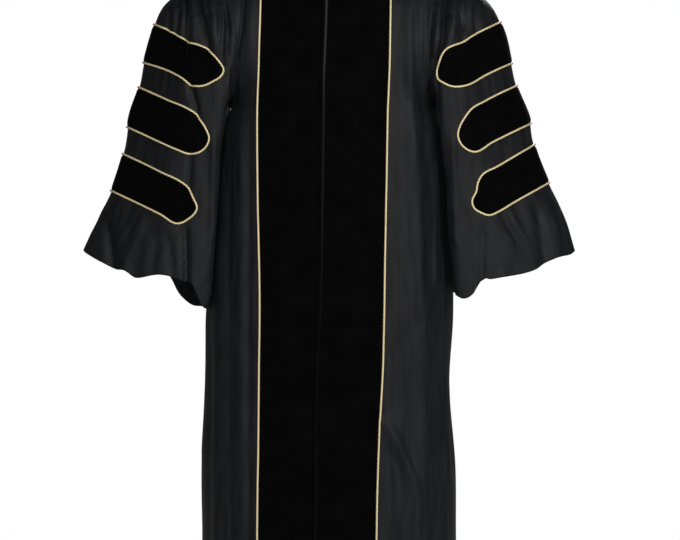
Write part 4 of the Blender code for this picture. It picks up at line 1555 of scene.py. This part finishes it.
LEFT_SLEEVE = SleeveForm(
    side=Side.LEFT,
    rings=table(
        Ring,
        (0.214, 0.041, 0.188, 0.300, 0.095, 0.100, 0.024),
        (0.262, 0.058, 0.1965, 0.296, 0.101, 0.106, 0.037),
        (0.298, 0.080, 0.2065, 0.318, 0.105, 0.112, 0.053),
        (0.325, 0.108, 0.213, 0.358, 0.106, 0.115, 0.065),
        (0.344, 0.160, 0.219, 0.395, 0.106, 0.116, 0.068),
        (0.356, 0.206, 0.222, 0.430, 0.105, 0.116, 0.068),
        (0.368, 0.260, 0.2245, 0.465, 0.104, 0.116, 0.070),
        (0.386, 0.315, 0.2265, 0.500, 0.103, 0.117, 0.075),
        (0.396, 0.380, 0.230, 0.540, 0.103, 0.118, 0.078),
        (0.4185, 0.452, 0.2335, 0.575, 0.105, 0.120, 0.085),
        (0.445, 0.508, 0.238, 0.610, 0.108, 0.123, 0.092),
        (0.462, 0.543, 0.242, 0.640, 0.110, 0.126, 0.096),
        (0.477, 0.575, 0.246, 0.667, 0.112, 0.130, 0.095),
    ),
    flutes=table(
        Flute,
        (40.0, 34.0, 11.0, -0.004), (64.0, 58.0, 12.0, 0.003), (120.0, 132.0, 14.0, -0.003),
        (-45.0, -50.0, 13.0, -0.008), (-95.0, -100.0, 14.0, 0.008), (-130.0, -135.0, 12.0, -0.007),
    ),
    hem=table(
        HemPoint,
        (-180.0, 0.680), (-150.0, 0.688), (-120.0, 0.689), (-100.0, 0.686), (-88.0, 0.682), (-82.0, 0.671),
        (-77.0, 0.655), (-73.0, 0.632), (-68.0, 0.614), (-60.0, 0.606), (-40.0, 0.592), (-20.0, 0.580),
        (0.0, 0.575), (15.0, 0.584), (30.0, 0.600), (40.0, 0.612), (46.0, 0.616), (52.0, 0.629),
        (58.0, 0.628), (63.0, 0.624), (72.0, 0.625), (84.0, 0.635), (91.0, 0.639), (97.0, 0.660),
        (104.0, 0.681), (118.0, 0.688), (140.0, 0.690), (160.0, 0.686), (180.0, 0.680),
    ),
    folds=table(
        Fold,
        (((0.273, 0.050), (0.275, 0.110), (0.277, 0.165), (0.276, 0.245)), 0.0062, -0.0165, 0.15, 0.3, 1.5),
        (((0.268, 0.240), (0.262, 0.270), (0.254, 0.305), (0.250, 0.345)), 0.0060, -0.0095, 0.2, 0.5),
        (((0.254, 0.060), (0.247, 0.105), (0.234, 0.165), (0.229, 0.215)), 0.0064, -0.0135, 0.15, 0.4, 1.7),
        (((0.240, 0.055), (0.233, 0.105), (0.226, 0.155)), 0.0046, -0.0068, 0.2, 0.5),
        (((0.262, 0.060), (0.261, 0.130), (0.257, 0.205)), 0.0070, 0.0045, 0.2, 0.4),
        (((0.290, 0.070), (0.294, 0.120), (0.299, 0.185)), 0.0056, -0.0080, 0.2, 0.5),
        (((0.306, 0.085), (0.311, 0.130), (0.316, 0.190)), 0.0056, -0.0070, 0.2, 0.5),
        (((0.196, 0.070), (0.194, 0.130), (0.195, 0.200), (0.197, 0.280)), 0.0080, -0.0130, 0.15, 0.4),
        (((0.211, 0.060), (0.209, 0.130), (0.211, 0.210)), 0.0055, -0.0085, 0.2, 0.5),
        (((0.262, 0.300), (0.266, 0.400), (0.275, 0.540)), 0.0060, -0.0045, 0.3, 0.4),
        (((0.222, 0.320), (0.221, 0.420), (0.223, 0.520), (0.234, 0.640)), 0.0070, 0.0053, 0.2, 0.3),
        (((0.437, 0.470), (0.430, 0.530), (0.416, 0.625)), 0.0095, -0.0080, 0.3, 0.05),
        (((0.404, 0.500), (0.399, 0.560), (0.392, 0.630)), 0.0110, 0.0035, 0.3, 0.1),
        (((0.348, 0.495), (0.366, 0.535), (0.392, 0.600)), 0.0085, 0.0045, 0.3, 0.3),
        (((0.330, 0.520), (0.334, 0.560), (0.340, 0.630)), 0.0100, -0.0036, 0.3, 0.1),
        (((0.277, 0.510), (0.275, 0.560), (0.273, 0.650)), 0.0050, -0.0097, 0.3, 0.05, 1.6),
        (((0.312, 0.530), (0.306, 0.570), (0.300, 0.640)), 0.0070, -0.0032, 0.3, 0.1),
    ),
)

RIGHT_SLEEVE = SleeveForm(
    side=Side.RIGHT,
    rings=table(
        Ring,
        (0.216, 0.041, 0.203, 0.300, 0.095, 0.100, 0.012),
        (0.262, 0.057, 0.2145, 0.294, 0.101, 0.106, 0.030),
        (0.296, 0.078, 0.221, 0.319, 0.105, 0.112, 0.046),
        (0.324, 0.110, 0.227, 0.358, 0.106, 0.115, 0.054),
        (0.343, 0.151, 0.2325, 0.395, 0.106, 0.116, 0.058),
        (0.356, 0.206, 0.236, 0.430, 0.105, 0.116, 0.063),
        (0.368, 0.258, 0.240, 0.465, 0.104, 0.116, 0.064),
        (0.391, 0.315, 0.242, 0.500, 0.103, 0.117, 0.068),
        (0.400, 0.368, 0.245, 0.540, 0.103, 0.118, 0.072),
        (0.427, 0.440, 0.2475, 0.575, 0.105, 0.120, 0.080),
        (0.449, 0.485, 0.251, 0.610, 0.108, 0.123, 0.085),
        (0.467, 0.528, 0.254, 0.640, 0.110, 0.126, 0.088),
        (0.481, 0.575, 0.257, 0.664, 0.112, 0.130, 0.090),
    ),
    flutes=table(
        Flute,
        (48.0, 44.0, 11.0, -0.003), (72.0, 66.0, 12.0, 0.003), (125.0, 130.0, 14.0, -0.003),
        (-40.0, -48.0, 13.0, 0.007), (-80.0, -88.0, 13.0, -0.008), (-120.0, -128.0, 13.0, 0.007),
    ),
    hem=table(
        HemPoint,
        (-180.0, 0.657), (-150.0, 0.658), (-110.0, 0.657), (-95.0, 0.655), (-85.0, 0.646), (-80.0, 0.636),
        (-75.0, 0.628), (-60.0, 0.612), (-45.0, 0.600), (-30.0, 0.588), (-15.0, 0.579), (0.0, 0.576),
        (15.0, 0.584), (30.0, 0.591), (38.0, 0.600), (45.0, 0.613), (52.0, 0.620), (60.0, 0.625),
        (68.0, 0.629), (76.0, 0.632), (80.5, 0.630), (84.0, 0.641), (88.0, 0.657), (93.0, 0.666),
        (100.0, 0.6695), (108.0, 0.666), (125.0, 0.658), (150.0, 0.657), (180.0, 0.657),
    ),
    folds=table(
        Fold,
        (
            ((0.233, 0.050), (0.2255, 0.125), (0.2215, 0.175), (0.210, 0.215), (0.2045, 0.250)),
            0.0070, -0.0145, 0.1, 0.2, 1.6,
        ),
        (
            ((0.251, 0.050), (0.2555, 0.105), (0.262, 0.137), (0.258, 0.165), (0.256, 0.190)),
            0.0050, -0.0112, 0.15, 0.35, 1.5,
        ),
        (((0.242, 0.060), (0.243, 0.120), (0.240, 0.180)), 0.0060, 0.0042, 0.2, 0.4),
        (((0.267, 0.065), (0.269, 0.100), (0.273, 0.155)), 0.0040, -0.0042, 0.2, 0.5),
        (((0.286, 0.078), (0.287, 0.125), (0.291, 0.175)), 0.0045, -0.0050, 0.2, 0.5),
        (((0.209, 0.190), (0.211, 0.260), (0.2145, 0.330)), 0.0060, -0.0070, 0.2, 0.4),
        (((0.240, 0.320), (0.244, 0.420), (0.247, 0.520), (0.254, 0.640)), 0.0080, 0.0045, 0.2, 0.3),
        (((0.330, 0.495), (0.350, 0.530), (0.384, 0.585)), 0.0070, -0.0035, 0.3, 0.4),
        (((0.352, 0.500), (0.372, 0.535), (0.398, 0.580)), 0.0070, 0.0034, 0.3, 0.4),
        (((0.300, 0.510), (0.299, 0.560), (0.297, 0.650)), 0.0070, -0.0048, 0.3, 0.05),
        (((0.405, 0.470), (0.413, 0.530), (0.423, 0.610)), 0.0100, -0.0042, 0.3, 0.05),
        (((0.438, 0.500), (0.446, 0.545), (0.455, 0.600)), 0.0090, 0.0028, 0.3, 0.05),
    ),
)

LEFT_BARS = table(
    Bar,
    (
        1,
        (
            (0.336, 0.138), (0.313, 0.149), (0.284, 0.166), (0.275, 0.172), (0.249, 0.181), (0.232, 0.190),
            (0.218, 0.203), (0.208, 0.217), (0.204, 0.227), (0.208, 0.238), (0.222, 0.248), (0.245, 0.257),
            (0.262, 0.255), (0.281, 0.241), (0.302, 0.229), (0.354, 0.210),
        ),
    ),
    (
        2,
        (
            (0.367, 0.260), (0.313, 0.285), (0.260, 0.311), (0.247, 0.325), (0.237, 0.342), (0.230, 0.361),
            (0.236, 0.374), (0.249, 0.385), (0.268, 0.388), (0.290, 0.380), (0.334, 0.360), (0.387, 0.335),
        ),
    ),
    (
        3,
        (
            (0.397, 0.390), (0.323, 0.426), (0.277, 0.451), (0.266, 0.463), (0.260, 0.478), (0.254, 0.494),
            (0.260, 0.506), (0.273, 0.516), (0.289, 0.523), (0.323, 0.505), (0.4175, 0.460),
        ),
    ),
)

RIGHT_BARS = table(
    Bar,
    (
        1,
        (
            (0.336, 0.133), (0.304, 0.149), (0.271, 0.168), (0.262, 0.175), (0.246, 0.180), (0.232, 0.187),
            (0.223, 0.200), (0.218, 0.215), (0.214, 0.232), (0.216, 0.244), (0.226, 0.252), (0.244, 0.258),
            (0.262, 0.2565), (0.304, 0.235), (0.330, 0.222), (0.3565, 0.210),
        ),
    ),
    (
        2,
        (
            (0.368, 0.256), (0.304, 0.288), (0.275, 0.306), (0.265, 0.320), (0.256, 0.337), (0.252, 0.354),
            (0.260, 0.372), (0.270, 0.380), (0.281, 0.384), (0.315, 0.366), (0.391, 0.328),
        ),
    ),
    (
        3,
        (
            (0.402, 0.371), (0.326, 0.416), (0.298, 0.432), (0.291, 0.446), (0.288, 0.464), (0.280, 0.480),
            (0.284, 0.494), (0.296, 0.502), (0.311, 0.507), (0.328, 0.500), (0.357, 0.483), (0.427, 0.444),
        ),
    ),
)

LEFT_FOLDS = table(
    Fold,
    (((0.161, 0.050), (0.166, 0.136), (0.1735, 0.185), (0.181, 0.225)), 0.0055, -0.0060, 0.1, 0.3, 1.7),
    (((0.146, 0.060), (0.149, 0.140), (0.153, 0.220)), 0.0080, 0.0022, 0.2, 0.4),
    (((0.209, 0.320), (0.210, 0.500), (0.211, 0.800), (0.213, 1.285)), 0.0110, 0.0042, 0.2, 0.02),
    (((0.190, 0.250), (0.190, 0.500), (0.189, 0.900), (0.186, 1.285)), 0.0070, -0.0022, 0.2, 0.02),
    (((0.168, 0.200), (0.168, 0.500), (0.168, 0.900), (0.169, 1.285)), 0.0070, 0.0020, 0.2, 0.02),
    (((0.151, 0.240), (0.152, 0.500), (0.152, 0.900), (0.153, 1.285)), 0.0060, -0.0018, 0.2, 0.02),
    (((0.228, 0.640), (0.229, 0.900), (0.231, 1.285)), 0.0070, -0.0030, 0.2, 0.02),
)

RIGHT_FOLDS = table(
    Fold,
    (((0.163, 0.110), (0.165, 0.350), (0.182, 0.700), (0.187, 1.285)), 0.0170, 0.0065, 0.15, 0.02),
    (((0.152, 0.080), (0.156, 0.180), (0.160, 0.330)), 0.0100, 0.0024, 0.2, 0.4),
    (((0.170, 0.050), (0.171, 0.200), (0.172, 0.420)), 0.0070, -0.0024, 0.2, 0.5),
    (((0.192, 0.060), (0.189, 0.160), (0.188, 0.260)), 0.0060, -0.0024, 0.2, 0.5),
    (((0.140, 0.180), (0.141, 0.400), (0.140, 0.850)), 0.0140, -0.0020, 0.2, 0.4),
    (((0.208, 0.440), (0.209, 0.560), (0.210, 0.700)), 0.0055, 0.0030, 0.3, 0.3),
    (((0.230, 0.780), (0.231, 0.930), (0.231, 1.080)), 0.0055, 0.0028, 0.3, 0.3),
    (((0.219, 0.400), (0.220, 0.800), (0.222, 1.285)), 0.0060, -0.0020, 0.2, 0.02),
    (((0.105, 0.893), (0.131, 0.946), (0.158, 1.004), (0.171, 1.140)), 0.0110, 0.0058, 0.08, 0.3),
    (((0.114, 0.935), (0.129, 0.990), (0.140, 1.070), (0.146, 1.285)), 0.0150, -0.0052, 0.12, 0.02),
    (((0.172, 0.690), (0.175, 0.715), (0.176, 0.745)), 0.0060, -0.0026, 0.4, 0.4),
)

VELVET_FOLDS = table(
    Fold,
    (((0.070, 0.250), (0.068, 0.700), (0.066, 1.285)), 0.0300, 0.0035, 0.3, 0.02),
    (((0.112, 0.200), (0.110, 0.600), (0.108, 1.285)), 0.0140, -0.0020, 0.3, 0.02),
)

BACK_FLUTES = table(
    Flute,
    (-0.74, -0.79, 0.10, -0.013), (-0.47, -0.52, 0.12, -0.019), (-0.24, -0.25, 0.10, -0.015),
    (0.04, 0.02, 0.12, -0.020), (0.27, 0.30, 0.10, -0.016), (0.50, 0.54, 0.12, -0.019),
    (0.76, 0.81, 0.09, -0.012),
)


def yoke_gathers(count: int = 15, half: float = 0.150, top: float = 0.106) -> tuple[Fold, ...]:
    """Short gathers below the back's yoke seam, uneven in place, length and depth."""
    folds = []
    for index in range(count):
        x = -half + 2 * half * index / (count - 1) + 0.004 * math.sin(index * 2.7)
        length = 0.16 + 0.09 * math.sin(index * 1.9 + 0.6)
        height = -0.0028 - 0.0012 * math.sin(index * 3.3)
        path = ((x, top), (x * 1.04, top + length / 2), (x * 1.10, top + length))
        folds.append(Fold(path, 0.0050, height, 0.08, 0.6, face=Face.BACK))
    return tuple(folds)


def main() -> None:
    """Build the gown and its studio in order."""
    logging.basicConfig(level=logging.INFO, format="%(message)s")
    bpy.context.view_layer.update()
    gown = Gown(BodyForm(), {Side.LEFT: LEFT_SLEEVE, Side.RIGHT: RIGHT_SLEEVE})
    left = FrontPanel(gown, Side.LEFT, LEFT_FOLDS, VELVET_FOLDS, roll=True)
    right = FrontPanel(gown, Side.RIGHT, RIGHT_FOLDS, VELVET_FOLDS)
    for panel in (left, right):
        panel.build_cloth()
        panel.build_velvet()
        panel.build_piping()
    ZipTape((left, right)).build()
    BackPanel(gown, BACK_FLUTES, yoke_gathers()).build()
    Yoke(gown).build()
    Sleeve(gown, Side.LEFT, LEFT_BARS).build()
    Sleeve(gown, Side.RIGHT, RIGHT_BARS).build()
    Studio().build()


if __name__ == "__main__":
    main()
